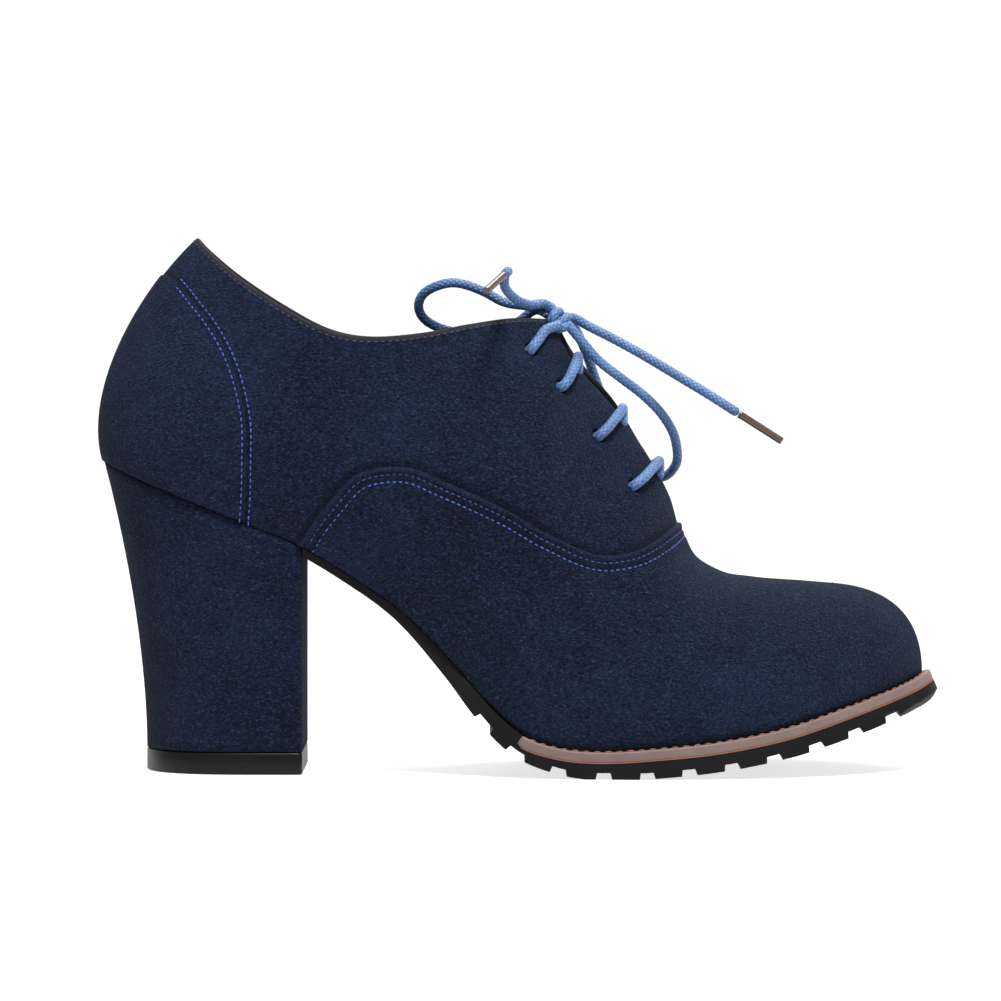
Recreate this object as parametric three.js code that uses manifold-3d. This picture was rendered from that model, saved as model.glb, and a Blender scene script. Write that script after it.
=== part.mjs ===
// A women's lace-up shoe on a block heel, the right shoe of a pair, in millimetres.
// +X runs from heel to toe, +Z is up, and the floor is z = 0. The outer (lateral) side is -Y.
// The origin is on the floor, under the middle of the shoe.
import * as THREE from 'three';
import Module from 'manifold-3d';
import { mergeVertices } from 'three/addons/utils/BufferGeometryUtils.js';

const wasm = await Module();
wasm.setup();

// Driving sizes
const LENGTH = 240;           // back of the heel to the tip of the outsole
const BALL_WIDTH = 82.4;      // upper across the ball, at the feather line
const SEAT_HEIGHT = 88.4;     // floor to the feather line at the back of the heel
const WALL_HEIGHT = 120;      // feather line to the top corner of the throat
const TOE_HEIGHT = 43;        // feather line to the top of the vamp
const TOE_SPRING = 21.8;      // rise of the feather line from the tread to the tip
const UPPER_WALL = 1.8;       // suede, backer and lining together
const VAMP_LAP = 0.9;         // how far the vamp stands over the quarters
const COUNTER_LAP = 0.5;      // how far the counter stands over the quarters
const LAP_FOOT = 0.005;       // where both start, as a height on the ribs
const GAP = 0.3;              // clearance between pieces that meet
const INSOLE_THICKNESS = 2.6;
const TONGUE_THICKNESS = 1.4;
const WELT_THICKNESS = 3.1;
const WELT_MARGIN = 2.8;      // how far welt and outsole stand out round the forefoot
const WELT_SEAT = 5;          // how far the welt reaches in under the upper
const SOLE_THICKNESS = 5.2;   // outsole under the welt, lugs included
const WAIST_THICKNESS = 2.2;  // outsole at the heel breast
const LUG_DEPTH = 1.8;
const LUG_GROOVE = 3.8;       // width of the groove between two rows of lugs
const LUG_PITCH = 11.6;       // along the sole
const LIFT_THICKNESS = 6.2;
const HEEL_FOOT_LENGTH = 45.2;
const HEEL_FOOT_WIDTH = 50;
const LACE_DIAMETER = 2.8;
const EYELET_DIAMETER = 3.6;
const AGLET_LENGTH = 14.5;
const AGLET_DIAMETER = 2.2;

const LACE_RADIUS = LACE_DIAMETER / 2;
const HALF_BALL = BALL_WIDTH / 2;
const TREAD = SOLE_THICKNESS + WELT_THICKNESS + GAP - 0.6;  // the tread is worn in by 0.6 mm to a flat

const xAt = (share) => (share - 0.5) * LENGTH;

// Feather line seen from the side. at: share of LENGTH from the back.
// rise: share of the seat's height over the tread. spring: share of TOE_SPRING.
const FEATHER = [
  { at: -0.010, rise: 1.016, spring: 0 },
  { at: 0.004, rise: 1.000, spring: 0 },
  { at: 0.088, rise: 0.894, spring: 0 },
  { at: 0.183, rise: 0.780, spring: 0 },
  { at: 0.242, rise: 0.709, spring: 0 },
  { at: 0.304, rise: 0.599, spring: 0 },
  { at: 0.367, rise: 0.467, spring: 0 },
  { at: 0.429, rise: 0.280, spring: 0 },
  { at: 0.471, rise: 0.139, spring: 0 },
  { at: 0.508, rise: 0.049, spring: 0 },
  { at: 0.550, rise: 0.010, spring: 0 },
  { at: 0.596, rise: 0, spring: 0 },
  { at: 0.667, rise: 0, spring: 0.046 },
  { at: 0.740, rise: 0, spring: 0.133 },
  { at: 0.813, rise: 0, spring: 0.289 },
  { at: 0.885, rise: 0, spring: 0.530 },
  { at: 0.963, rise: 0, spring: 0.812 },
  { at: 1.010, rise: 0, spring: 1.000 },
];

// Ribs of the last, from the back of the heel (first row) round to the tip of the toe (last row).
// foot: where the rib leaves the feather line, as a share of LENGTH, then how far out it stands on the
//   outer and the inner side, as shares of half the ball width.
// top: where it ends, on the collar, the facing or the ridge of the vamp, in the same shares.
// rise: height of its top over the feather line right under it, as shares of WALL_HEIGHT and of TOE_HEIGHT.
// lean: degrees that it starts outwards, outer and inner side. swell, reach: lower and upper handle, as
//   shares of its chord. face: plan angle that its top looks to, -90 back, 0 side, 90 front.
// crest: degrees that it falls away at its top.
const RIBS = [
  { foot: [0.007, 0, 0], top: [0.117, 0, 0], rise: [0.619, 0],
    lean: [16, 16], swell: 0.30, face: -90, crest: 43, reach: 0.33 },
  { foot: [0.025, 0.357, 0.345], top: [0.131, 0.214, 0.214], rise: [0.600, 0],
    lean: [15, 15], swell: 0.30, face: -58, crest: 52, reach: 0.33 },
  { foot: [0.071, 0.583, 0.560], top: [0.167, 0.417, 0.417], rise: [0.567, 0],
    lean: [14, 14], swell: 0.32, face: -38, crest: 66, reach: 0.34 },
  { foot: [0.142, 0.679, 0.643], top: [0.221, 0.583, 0.583], rise: [0.536, 0],
    lean: [12, 12], swell: 0.34, face: -22, crest: 78, reach: 0.34 },
  { foot: [0.217, 0.686, 0.620], top: [0.275, 0.655, 0.655], rise: [0.536, 0],
    lean: [10, 14], swell: 0.35, face: -8, crest: 82, reach: 0.35 },
  { foot: [0.292, 0.667, 0.536], top: [0.329, 0.667, 0.667], rise: [0.588, 0],
    lean: [10, 18], swell: 0.36, face: 0, crest: 82, reach: 0.35 },
  { foot: [0.363, 0.671, 0.500], top: [0.388, 0.620, 0.620], rise: [0.693, 0],
    lean: [9, 20], swell: 0.37, face: 8, crest: 78, reach: 0.34 },
  { foot: [0.425, 0.714, 0.524], top: [0.446, 0.476, 0.476], rise: [0.840, 0],
    lean: [8, 20], swell: 0.37, face: 10, crest: 68, reach: 0.32 },
  { foot: [0.479, 0.810, 0.607], top: [0.500, 0.286, 0.286], rise: [0.961, 0],
    lean: [6, 16], swell: 0.37, face: 6, crest: 55, reach: 0.30 },
  { foot: [0.517, 0.881, 0.690], top: [0.532, 0.143, 0.143], rise: [0.988, 0],
    lean: [4, 12], swell: 0.37, face: 0, crest: 45, reach: 0.30 },
  { foot: [0.546, 0.929, 0.762], top: [0.567, 0.119, 0.119], rise: [0.896, 0],
    lean: [3, 8], swell: 0.37, face: 0, crest: 42, reach: 0.30 },
  { foot: [0.575, 0.964, 0.833], top: [0.612, 0.095, 0.095], rise: [0.795, 0],
    lean: [2, 6], swell: 0.38, face: 0, crest: 40, reach: 0.30 },
  { foot: [0.613, 0.990, 0.905], top: [0.650, 0.071, 0.071], rise: [0.687, 0],
    lean: [3, 5], swell: 0.38, face: 0, crest: 36, reach: 0.31 },
  { foot: [0.650, 1.000, 0.952], top: [0.679, 0.048, 0.048], rise: [0.578, 0],
    lean: [4, 5], swell: 0.40, face: 0, crest: 28, reach: 0.33 },
  { foot: [0.683, 0.998, 0.981], top: [0.693, 0, 0], rise: [0.487, 0],
    lean: [6, 6], swell: 0.41, face: 0, crest: 10, reach: 0.36 },
  { foot: [0.717, 0.981, 0.990], top: [0.713, 0, 0], rise: [0.200, 0.603],
    lean: [7, 7], swell: 0.42, face: 0, crest: 0, reach: 0.38 },
  { foot: [0.754, 0.943, 0.976], top: [0.742, 0, 0], rise: [0, 1.045],
    lean: [8, 7], swell: 0.42, face: 0, crest: 0, reach: 0.40 },
  { foot: [0.808, 0.857, 0.917], top: [0.783, -0.010, 0.010], rise: [0, 0.958],
    lean: [9, 8], swell: 0.42, face: 0, crest: 0, reach: 0.41 },
  { foot: [0.867, 0.702, 0.798], top: [0.833, -0.024, 0.024], rise: [0, 0.868],
    lean: [10, 9], swell: 0.43, face: 4, crest: 0, reach: 0.42 },
  { foot: [0.913, 0.512, 0.643], top: [0.875, -0.036, 0.036], rise: [0, 0.775],
    lean: [10, 10], swell: 0.42, face: 28, crest: 2, reach: 0.40 },
  { foot: [0.952, 0.274, 0.429], top: [0.875, -0.036, 0.036], rise: [0, 0.775],
    lean: [8, 8], swell: 0.43, face: 58, crest: 3, reach: 0.42 },
  { foot: [0.979, -0.071, 0.071], top: [0.875, -0.036, 0.036], rise: [0, 0.775],
    lean: [0, 0], swell: 0.45, face: 90, crest: 4, reach: 0.45 },
];
const LAST_RIB = RIBS.length - 1;
const BREAST_RIB = 4.39;       // the heel's front face, between two ribs
const THROAT_TOP_RIB = 9;
const THROAT_END_RIB = 14;     // where the two facings meet over the vamp
const FIRST_GROOVE = xAt(0.474);
const WELT_END_RIBS = [8.75, 9];  // where the welt starts, outer and inner side

// Seams seen from the side. at: share of LENGTH. rise: height over the feather line, as a share of
// WALL_HEIGHT.
const VAMP_SEAM = [
  { at: 0.234, rise: -0.03 },
  { at: 0.246, rise: 0.012 },
  { at: 0.259, rise: 0.068 },
  { at: 0.280, rise: 0.145 },
  { at: 0.304, rise: 0.229 },
  { at: 0.326, rise: 0.278 },
  { at: 0.355, rise: 0.326 },
  { at: 0.380, rise: 0.363 },
  { at: 0.410, rise: 0.398 },
  { at: 0.451, rise: 0.453 },
  { at: 0.493, rise: 0.497 },
  { at: 0.526, rise: 0.494 },
  { at: 0.549, rise: 0.481 },
  { at: 0.572, rise: 0.464 },
  { at: 0.595, rise: 0.451 },
  { at: 0.620, rise: 0.451 },
  { at: 0.650, rise: 0.464 },
  { at: 0.694, rise: 0.513 },
];
const COUNTER_SEAM = [
  { at: 0.179, rise: -0.03 },
  { at: 0.179, rise: 0.004 },
  { at: 0.181, rise: 0.059 },
  { at: 0.182, rise: 0.139 },
  { at: 0.182, rise: 0.23 },
  { at: 0.176, rise: 0.296 },
  { at: 0.164, rise: 0.364 },
  { at: 0.145, rise: 0.421 },
  { at: 0.120, rise: 0.466 },
  { at: 0.088, rise: 0.505 },
  { at: 0.040, rise: 0.48 },
];

// Eyelets from the collar down, as rib and height on the rib, the same on both sides.
// over: the rib at which the strand from it passes the edge of the facing.
const EYELETS = [
  { rib: 8.42, height: 0.900, over: 9.0 },
  { rib: 9.60, height: 0.845, over: 10.0 },
  { rib: 10.68, height: 0.830, over: 11.2 },
  { rib: 11.74, height: 0.790, over: 12.6 },
];

// The bow, as the middle line of the lace, knot first.
const KNOT = [11.9, -1.5, 128.2];
const LOOP_LEFT = [
  [8.7, 0.9, 132.3], [3.6, 1.4, 132.2], [-3.7, 2.2, 133.2], [-9.4, 2.6, 136.1],
  [-14.8, 2.8, 138.2], [-19.1, 3.0, 138.8], [-23.4, 3.6, 137.8], [-26.9, 4.8, 135.8],
  [-28.4, 6.2, 133.0], [-28.0, 7.6, 130.1], [-25.6, 8.8, 127.5], [-20.9, 9.4, 125.4],
  [-15.0, 9.2, 124.3], [-8.0, 8.6, 124.6], [-1.0, 7.2, 127.0], [5.0, 4.6, 131.0],
];
const LOOP_RIGHT = [
  [14.9, -4.3, 125.9], [18.4, -4.2, 121.8], [23.0, -3.6, 116.6], [29.4, -2.4, 111.6],
  [35.2, -0.8, 107.2], [40.2, 1.0, 102.4], [43.8, 3.2, 97.2], [45.4, 5.8, 92.6],
  [45.6, 9.6, 87.2], [42.4, 14.2, 83.2], [37.0, 18.8, 83.4], [31.6, 20.6, 88.6],
  [28.0, 20.0, 96.0], [25.0, 16.6, 104.0], [22.0, 11.8, 112.2], [18.8, 6.8, 120.6],
  [15.6, 3.0, 127.0],
];
const END_RIGHT = [
  [15.8, 0.4, 128.8], [20.6, 0.0, 126.2], [28.4, -1.6, 122.2], [36.6, -3.4, 117.6], [45.4, -5.4, 112.3],
  [54.0, -7.4, 107.1], [62.6, -9.0, 101.6],
];
const END_LEFT = [
  [7.8, -3.4, 132.7], [3.4, -7.4, 132.5], [-0.6, -12.0, 134.0], [-3.6, -15.8, 137.2],
  [-3.8, -19.4, 140.6], [-2.9, -23.2, 141.8], [-4.0, -26.0, 140.8],
];

const lerp = (a, b, t) => a + (b - a) * t;
const smoothstep = (a, b, x) => {
  const t = Math.min(1, Math.max(0, (x - a) / (b - a)));
  return t * t * (3 - 2 * t);
};
const radians = (degrees) => degrees * Math.PI / 180;

// Cubic through four values at the places x0 to x3, between the middle two, without overshoot.
function cubic(values, places, x) {
  const [p0, p1, p2, p3] = values;
  const [x0, x1, x2, x3] = places;
  const span = x2 - x1;
  const slopes = [(p1 - p0) / (x1 - x0), (p2 - p1) / span, (p3 - p2) / (x3 - x2)];
  const tangent = (before, after, wide) => {
    if (before * after <= 0) return 0;
    const most = 3 * Math.min(Math.abs(before), Math.abs(after));
    return Math.sign(wide) * Math.min(Math.abs(wide), most);
  };
  const m1 = tangent(slopes[0], slopes[1], (p2 - p0) / (x2 - x0)) * span;
  const m2 = tangent(slopes[1], slopes[2], (p3 - p1) / (x3 - x1)) * span;
  const t = (x - x1) / span;
  const t2 = t * t;
  const t3 = t2 * t;
  return (2 * t3 - 3 * t2 + 1) * p1 + (t3 - 2 * t2 + t) * m1 + (3 * t2 - 2 * t3) * p2 + (t3 - t2) * m2;
}

// A column of a table read at a place along it.
function column(rows, key, at) {
  const last = rows.length - 1;
  let i = 0;
  while (i < last - 1 && at > rows[i + 1].at) i += 1;
  const picked = [Math.max(i - 1, 0), i, i + 1, Math.min(i + 2, last)];
  const places = picked.map((k) => rows[k].at);
  if (i === 0) places[0] -= rows[1].at - rows[0].at;
  if (i === last - 1) places[3] += rows[last].at - rows[last - 1].at;
  return cubic(picked.map((k) => rows[k][key]), places, at);
}

// Height of the feather line, and the direction square to it in the side view.
function featherHeight(x) {
  const at = x / LENGTH + 0.5;
  const rise = column(FEATHER, 'rise', at) * (SEAT_HEIGHT - TREAD);
  return TREAD + rise + column(FEATHER, 'spring', at) * TOE_SPRING;
}
function featherNormal(x) {
  const step = 0.5;
  const slope = (featherHeight(x + step) - featherHeight(x - step)) / (2 * step);
  return new THREE.Vector2(-slope, 1).normalize();
}

// A plan point lifted by a height square to the feather line.
function lift(plan, height) {
  const normal = featherNormal(plan.x);
  return new THREE.Vector3(
    plan.x + normal.x * height, plan.y, featherHeight(plan.x) + normal.y * height);
}

// One value of the rib table. side: -1 outer, 1 inner. Past either end the table goes on along the other
// side.
function ribValue(read, index, side) {
  if (index < 0) return read(RIBS[-index], -side);
  if (index > LAST_RIB) return read(RIBS[2 * LAST_RIB - index], -side);
  return read(RIBS[index], side);
}
function alongRibs(read, rib, side) {
  const i = Math.min(LAST_RIB - 1, Math.floor(rib));
  const values = [-1, 0, 1, 2].map((k) => ribValue(read, i + k, side));
  return cubic(values, [-1, 0, 1, 2], rib - i);
}
const columnOf = (side) => (side < 0 ? 1 : 2);
const FOOT_X = (row) => xAt(row.foot[0]);
const FOOT_Y = (row, side) => side * row.foot[columnOf(side)] * HALF_BALL;
const TOP_X = (row) => xAt(row.top[0]);
const TOP_Y = (row, side) => side * row.top[columnOf(side)] * HALF_BALL;
const TOP_Z = (row) => featherHeight(TOP_X(row)) + row.rise[0] * WALL_HEIGHT + row.rise[1] * TOE_HEIGHT;
const FACE_X = (row) => Math.sin(radians(row.face));
const FACE_Y = (row, side) => side * Math.cos(radians(row.face));

// Outward direction of the feather line, in plan.
function outward(side, rib) {
  const step = 0.02;
  const near = Math.max(0, rib - step);
  const far = Math.min(LAST_RIB, rib + step);
  const dx = alongRibs(FOOT_X, far, side) - alongRibs(FOOT_X, near, side);
  const dy = alongRibs(FOOT_Y, far, side) - alongRibs(FOOT_Y, near, side);
  if (rib <= 0) return new THREE.Vector2(-1, 0);
  if (rib >= LAST_RIB) return new THREE.Vector2(1, 0);
  return new THREE.Vector2(-side * dy, side * dx).normalize();
}

// A point of the outline of the feather line, moved outwards by a margin.
function outline(side, rib, margin = 0) {
  const out = outward(side, rib);
  return new THREE.Vector2(
    alongRibs(FOOT_X, rib, side) + out.x * margin, alongRibs(FOOT_Y, rib, side) + out.y * margin);
}

// A point of the upper's outer face. height: 0 at the feather line to 1 at the rib's top.
function lastPoint(side, rib, height) {
  const plan = outline(side, rib);
  const foot = new THREE.Vector3(plan.x, plan.y, featherHeight(plan.x));
  const top = new THREE.Vector3(
    alongRibs(TOP_X, rib, side), alongRibs(TOP_Y, rib, side), alongRibs(TOP_Z, rib, side));
  const chord = foot.distanceTo(top);
  const out = outward(side, rib);
  const lean = radians(alongRibs((row, s) => row.lean[columnOf(s) - 1], rib, side));
  const crest = radians(alongRibs((row) => row.crest, rib, side));
  const lower = chord * alongRibs((row) => row.swell, rib, side);
  const upper = chord * alongRibs((row) => row.reach, rib, side);
  const face = new THREE.Vector2(alongRibs(FACE_X, rib, side), alongRibs(FACE_Y, rib, side)).normalize();
  const start = new THREE.Vector3(out.x * Math.sin(lean), out.y * Math.sin(lean), Math.cos(lean));
  const end = new THREE.Vector3(face.x * Math.cos(crest), face.y * Math.cos(crest), -Math.sin(crest));
  const [low, high] = [foot.clone().addScaledVector(start, lower), top.clone().addScaledVector(end, upper)];
  const handles = [foot, low, high, top];
  return new THREE.CubicBezierCurve3(...handles).getPoint(height);
}

// Outward direction of the upper's face. At the feather line it lies along the sole.
function lastNormal(side, rib, height) {
  const step = 0.01;
  const at = (r, h) => lastPoint(side, Math.min(LAST_RIB, Math.max(0, r)), Math.min(1, Math.max(0, h)));
  const shared = height > 0.999 && rib >= THROAT_END_RIB;
  if (shared) {
    const place = alongRibs(TOP_X, Math.min(rib, LAST_RIB - 3), side);
    const ridge = (r) => new THREE.Vector2(alongRibs(TOP_X, r, side), alongRibs(TOP_Z, r, side));
    const base = place >= TOP_X(RIBS[LAST_RIB - 2]) - step ? LAST_RIB - 2.3 : Math.min(rib, LAST_RIB - 2.3);
    const run = ridge(base + 0.05).sub(ridge(base - 0.05));
    return new THREE.Vector3(-run.y, 0, run.x).normalize();
  }
  const along = at(rib + step, height).sub(at(rib - step, height));
  const up = at(rib, height + step).sub(at(rib, height - step));
  if (rib <= 0) along.set(0, side, 0);
  if (rib >= LAST_RIB) along.set(0, -side, 0);
  const normal = along.cross(up).normalize().multiplyScalar(-side);
  if (height < step) {
    const square = featherNormal(at(rib, 0).x);
    const upright = new THREE.Vector3(square.x, 0, square.y);
    normal.addScaledVector(upright, -normal.dot(upright)).normalize();
  }
  return normal;
}

// A face of the upper at an offset from its outer face, outwards positive.
const facePoint = (side, rib, height, offset) =>
  lastPoint(side, rib, height).addScaledVector(lastNormal(side, rib, height), offset);

// A closed solid from triangles given as triples of points.
function solid(triangles) {
  const positions = new Float32Array(triangles.length * 9);
  triangles.forEach((corners, i) => corners.forEach((corner, j) => {
    corner.toArray(positions, i * 9 + j * 3);
  }));
  const geometry = new THREE.BufferGeometry();
  geometry.setAttribute('position', new THREE.BufferAttribute(positions, 3));
  return fromGeometry(geometry);
}

// A three.js geometry as a manifold solid, with faces that have shrunk to a line left out.
function fromGeometry(source) {
  const geometry = source.index ? source.toNonIndexed() : source.clone();
  geometry.deleteAttribute('normal');
  geometry.deleteAttribute('uv');
  const merged = mergeVertices(geometry, 1e-3);
  const kept = [];
  const index = merged.index.array;
  for (let i = 0; i < index.length; i += 3) {
    const [a, b, c] = [index[i], index[i + 1], index[i + 2]];
    if (a !== b && b !== c && c !== a) kept.push(a, b, c);
  }
  const made = new wasm.Manifold(new wasm.Mesh({
    numProp: 3,
    vertProperties: merged.attributes.position.array,
    triVerts: new Uint32Array(kept),
  }));
  return made;
}

// A quad as two triangles, facing the way that its corners turn.
const quad = (a, b, c, d) => [[a, b, c], [a, c, d]];

// A solid through closed rings of equal count. Rings are numbered upwards, and run anticlockwise seen from
// above.
// Its caps are filled by ladders: point i is joined across to point n - 1 - i.
function stack(rings) {
  const faces = [];
  const count = rings[0].length;
  for (let k = 0; k + 1 < rings.length; k += 1) {
    for (let i = 0; i < count; i += 1) {
      const j = (i + 1) % count;
      faces.push(...quad(rings[k][i], rings[k][j], rings[k + 1][j], rings[k + 1][i]));
    }
  }
  const [bottom, top] = [rings[0], rings[rings.length - 1]];
  for (let i = 0; i < count / 2 - 1; i += 1) {
    const [a, b] = [count - 1 - i, count - 2 - i];
    faces.push(...quad(top[i], top[i + 1], top[b], top[a]));
    faces.push(...quad(bottom[a], bottom[b], bottom[i + 1], bottom[i]));
  }
  return solid(faces);
}

// A solid swept through rings of any count, with flat ends. Each ring runs anticlockwise seen from its far
// end.
function sweep(rings) {
  const faces = [];
  const count = rings[0].length;
  for (let k = 0; k + 1 < rings.length; k += 1) {
    for (let i = 0; i < count; i += 1) {
      const j = (i + 1) % count;
      faces.push(...quad(rings[k][i], rings[k][j], rings[k + 1][j], rings[k + 1][i]));
    }
  }
  const [first, last] = [rings[0], rings[rings.length - 1]];
  for (let i = 0; i < count / 2 - 1; i += 1) {
    const [a, b] = [count - 1 - i, count - 2 - i];
    faces.push(...quad(first[a], first[b], first[i + 1], first[i]));
    faces.push(...quad(last[i], last[i + 1], last[b], last[a]));
  }
  return solid(faces);
}

// A prism of a side-view outline, from one side of the shoe to the other.
function sidePrism(points, halfWidth = BALL_WIDTH) {
  const shape = new THREE.Shape(points.map(([x, z]) => new THREE.Vector2(x, z)));
  const geometry = new THREE.ExtrudeGeometry(shape, { depth: 2 * halfWidth, bevelEnabled: false });
  geometry.rotateX(Math.PI / 2);
  geometry.translate(0, halfWidth, 0);
  return fromGeometry(geometry);
}

const HEIGHT_STEPS = 10;

// Rib places of a run. Every piece shares them, so that facets of neighbours lie side by side.
function ribPlaces(from, to = LAST_RIB) {
  const places = [from];
  for (let row = 0; row < LAST_RIB; row += 1) {
    const steps = row < THROAT_END_RIB ? 2 : 3;
    for (let k = 0; k < steps; k += 1) {
      const rib = row + k / steps;
      if (rib > from + 0.1 && rib < to - 0.1) places.push(rib);
    }
  }
  return [...places, to];
}

// The upper's wall between two offsets from its outer face, open at the collar, the throat and underneath.
// foot: the height on the ribs that it starts at.
function upperWall(outer, inner, foot = 0) {
  const places = ribPlaces(0);
  const side = (s, list) => list.map((rib) => ({ side: s, rib }));
  const round = side(-1, [...places].reverse()).concat(side(1, places.slice(1, -1)));
  const face = (offset) => round.map(({ side: s, rib }) =>
    Array.from({ length: HEIGHT_STEPS + 1 }, (_, k) =>
      facePoint(s, rib, Math.max(foot, k / HEIGHT_STEPS), offset)));
  const [out, into] = [face(outer), face(inner)];
  const faces = [];
  round.forEach((station, i) => {
    const j = (i + 1) % round.length;
    for (let k = 0; k < HEIGHT_STEPS; k += 1) {
      faces.push(...quad(out[i][k], out[i][k + 1], out[j][k + 1], out[j][k]));
      faces.push(...quad(into[j][k], into[j][k + 1], into[i][k + 1], into[i][k]));
    }
    faces.push(...quad(out[j][0], into[j][0], into[i][0], out[i][0]));
    const open = Math.max(station.rib, round[j].rib) <= THROAT_END_RIB + 1e-6;
    const top = HEIGHT_STEPS;
    if (open) faces.push(...quad(out[i][top], into[i][top], into[j][top], out[j][top]));
  });
  return solid(faces);
}

const seamPoint = (row) => [xAt(row.at), featherHeight(xAt(row.at)) + row.rise * WALL_HEIGHT];

// The upper: quarters, with the vamp and the counter as steps in its wall, and its punched eyelets.
function makeUpper() {
  const quarters = upperWall(0, -UPPER_WALL);
  const seam = VAMP_SEAM.map(seamPoint);
  const ahead = LENGTH;
  const [endX, endZ] = seam[seam.length - 1];
  const under = [[ahead, endZ + VAMP_LAP * 2], [ahead, -ahead], [seam[0][0], -ahead]];
  const vampRegion = sidePrism([...seam, [endX + VAMP_LAP, endZ + VAMP_LAP * 2], ...under]);
  const counterLine = COUNTER_SEAM.map(seamPoint);
  const backOf = counterLine[counterLine.length - 1];
  const behind = [[-ahead, backOf[1]], [-ahead, 0], [counterLine[0][0], 0]];
  const counterRegion = sidePrism([...counterLine, ...behind]);
  const vamp = upperWall(VAMP_LAP, -UPPER_WALL / 2, LAP_FOOT).intersect(vampRegion);
  const counter = upperWall(COUNTER_LAP, -UPPER_WALL / 2, LAP_FOOT).intersect(counterRegion);
  let upper = quarters.add(vamp).add(counter);
  for (const side of [-1, 1]) {
    for (const { rib, height } of EYELETS) {
      const drill = new THREE.CylinderGeometry(EYELET_DIAMETER / 2, EYELET_DIAMETER / 2, UPPER_WALL * 4, 10);
      const turn = new THREE.Quaternion().setFromUnitVectors(
        new THREE.Vector3(0, 1, 0), lastNormal(side, rib, height));
      drill.applyQuaternion(turn);
      drill.translate(...lastPoint(side, rib, height));
      upper = upper.subtract(fromGeometry(drill));
    }
  }
  return upper;
}

// A slab under the foot: an outline ring lifted to a few heights. margin and heights are functions of x.
// It reaches no lower than lowest, and no further back than rear.
function slab(from, margin, heights, lowest = -LENGTH, rear = -LENGTH) {
  const places = ribPlaces(from);
  const ring = (height) => {
    const outer = places.map((rib) => outline(-1, rib, margin(outline(-1, rib).x)));
    const inner = places.map((rib) => outline(1, rib, margin(outline(1, rib).x)));
    return [...outer, ...inner.reverse()].map((plan) => {
      const point = lift(plan, height(plan.x));
      const behind = Math.max(0, rear - point.x);
      if (behind > 0) point.copy(lift(new THREE.Vector2(plan.x + behind, plan.y), height(plan.x)));
      return point.set(Math.max(point.x, rear), point.y, Math.max(point.z, lowest));
    });
  };
  return stack(heights.map(ring));
}

// Front face of the heel, at its middle
const BREAST_X = alongRibs(FOOT_X, BREAST_RIB, -1);
const soleMargin = (x) => lerp(-0.2, WELT_MARGIN, smoothstep(xAt(0.40), xAt(0.53), x));
const WELT_UNDERSIDE = -(GAP + WELT_THICKNESS);

// Depth of the outsole's underside below the feather line, thin at the waist and full under the welt.
function soleUnderside(x) {
  const full = WELT_UNDERSIDE - SOLE_THICKNESS;
  const waist = -(GAP + WAIST_THICKNESS);
  return lerp(waist, full, smoothstep(xAt(0.30), xAt(0.64), x));
}

// A strip round the forefoot from one welt end to the other, with a four-cornered section.
function forefootStrip(inset, out, bottom, top, early = 0) {
  const [outerEnd, innerEnd] = WELT_END_RIBS;
  const outer = ribPlaces(outerEnd - early).map((rib) => [-1, rib]);
  const inner = ribPlaces(innerEnd - early).map((rib) => [1, rib]);
  const path = [...outer, ...inner.reverse().slice(1)];
  return sweep(path.map(([side, rib]) => {
    const edge = outline(side, rib, soleMargin(outline(side, rib).x) + out);
    const seat = outline(side, rib, -inset);
    return [lift(edge, bottom), lift(seat, bottom), lift(seat, top), lift(edge, top)];
  }));
}

const makeWelt = () => forefootStrip(WELT_SEAT, 0, WELT_UNDERSIDE, -1.5 * GAP);

function makeOutsole() {
  const body = slab(BREAST_RIB, soleMargin, [soleUnderside, () => -GAP], 0, BREAST_X + GAP);
  const seat = forefootStrip(WELT_SEAT + GAP, WELT_MARGIN, WELT_UNDERSIDE - 1.8 * GAP, UPPER_WALL, 0.12);
  let sole = body.subtract(seat);
  for (let x = FIRST_GROOVE; x < LENGTH / 2 - LUG_GROOVE; x += LUG_PITCH * featherNormal(x).y) {
    const normal = featherNormal(x);
    const groove = new THREE.BoxGeometry(LUG_GROOVE, BALL_WIDTH * 1.5, LUG_DEPTH * 4);
    groove.rotateY(Math.atan2(normal.x, normal.y));
    const middle = lift(new THREE.Vector2(x, 0), soleUnderside(x));
    middle.z = Math.max(middle.z, 0);
    middle.addScaledVector(new THREE.Vector3(normal.x, 0, normal.y), -LUG_DEPTH);
    groove.translate(...middle);
    sole = sole.subtract(fromGeometry(groove));
  }
  return sole;
}

const makeInsole = () => slab(
  0, () => -(UPPER_WALL + 2 * GAP), [() => 0, () => INSOLE_THICKNESS]);

// The covered heel: the seat's outline on top, drawn in to a smaller one on the lift.
function heelRing(share, height) {
  const places = ribPlaces(0, BREAST_RIB);
  const seat = [-1, 1].map((side) => places.map((rib) => outline(side, rib, -0.2)));
  const loop = [...seat[0], ...seat[1].reverse()];
  const front = Math.max(...loop.map((plan) => plan.x));
  const back = Math.min(...loop.map((plan) => plan.x));
  const wide = Math.max(...loop.map((plan) => plan.y)) - Math.min(...loop.map((plan) => plan.y));
  const long = lerp(HEEL_FOOT_LENGTH / (front - back), 1, share);
  const narrow = lerp(HEEL_FOOT_WIDTH / wide, 1, share);
  return loop.map((plan) => {
    const level = lift(plan, -GAP);
    const x = front + (Math.min(plan.x, front) - front) * long;
    return new THREE.Vector3(share === 1 ? level.x : x, plan.y * narrow, height(level.z));
  });
}
const HEEL_LEVELS = 7;
const HEEL_FLARE = 1.75;
function makeHeel() {
  const foot = LIFT_THICKNESS + GAP;
  const rings = Array.from({ length: HEEL_LEVELS + 1 }, (_, k) => {
    const t = k / HEEL_LEVELS;
    return heelRing(t ** HEEL_FLARE, (seat) => lerp(foot, seat, t));
  });
  return stack(rings);
}
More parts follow.
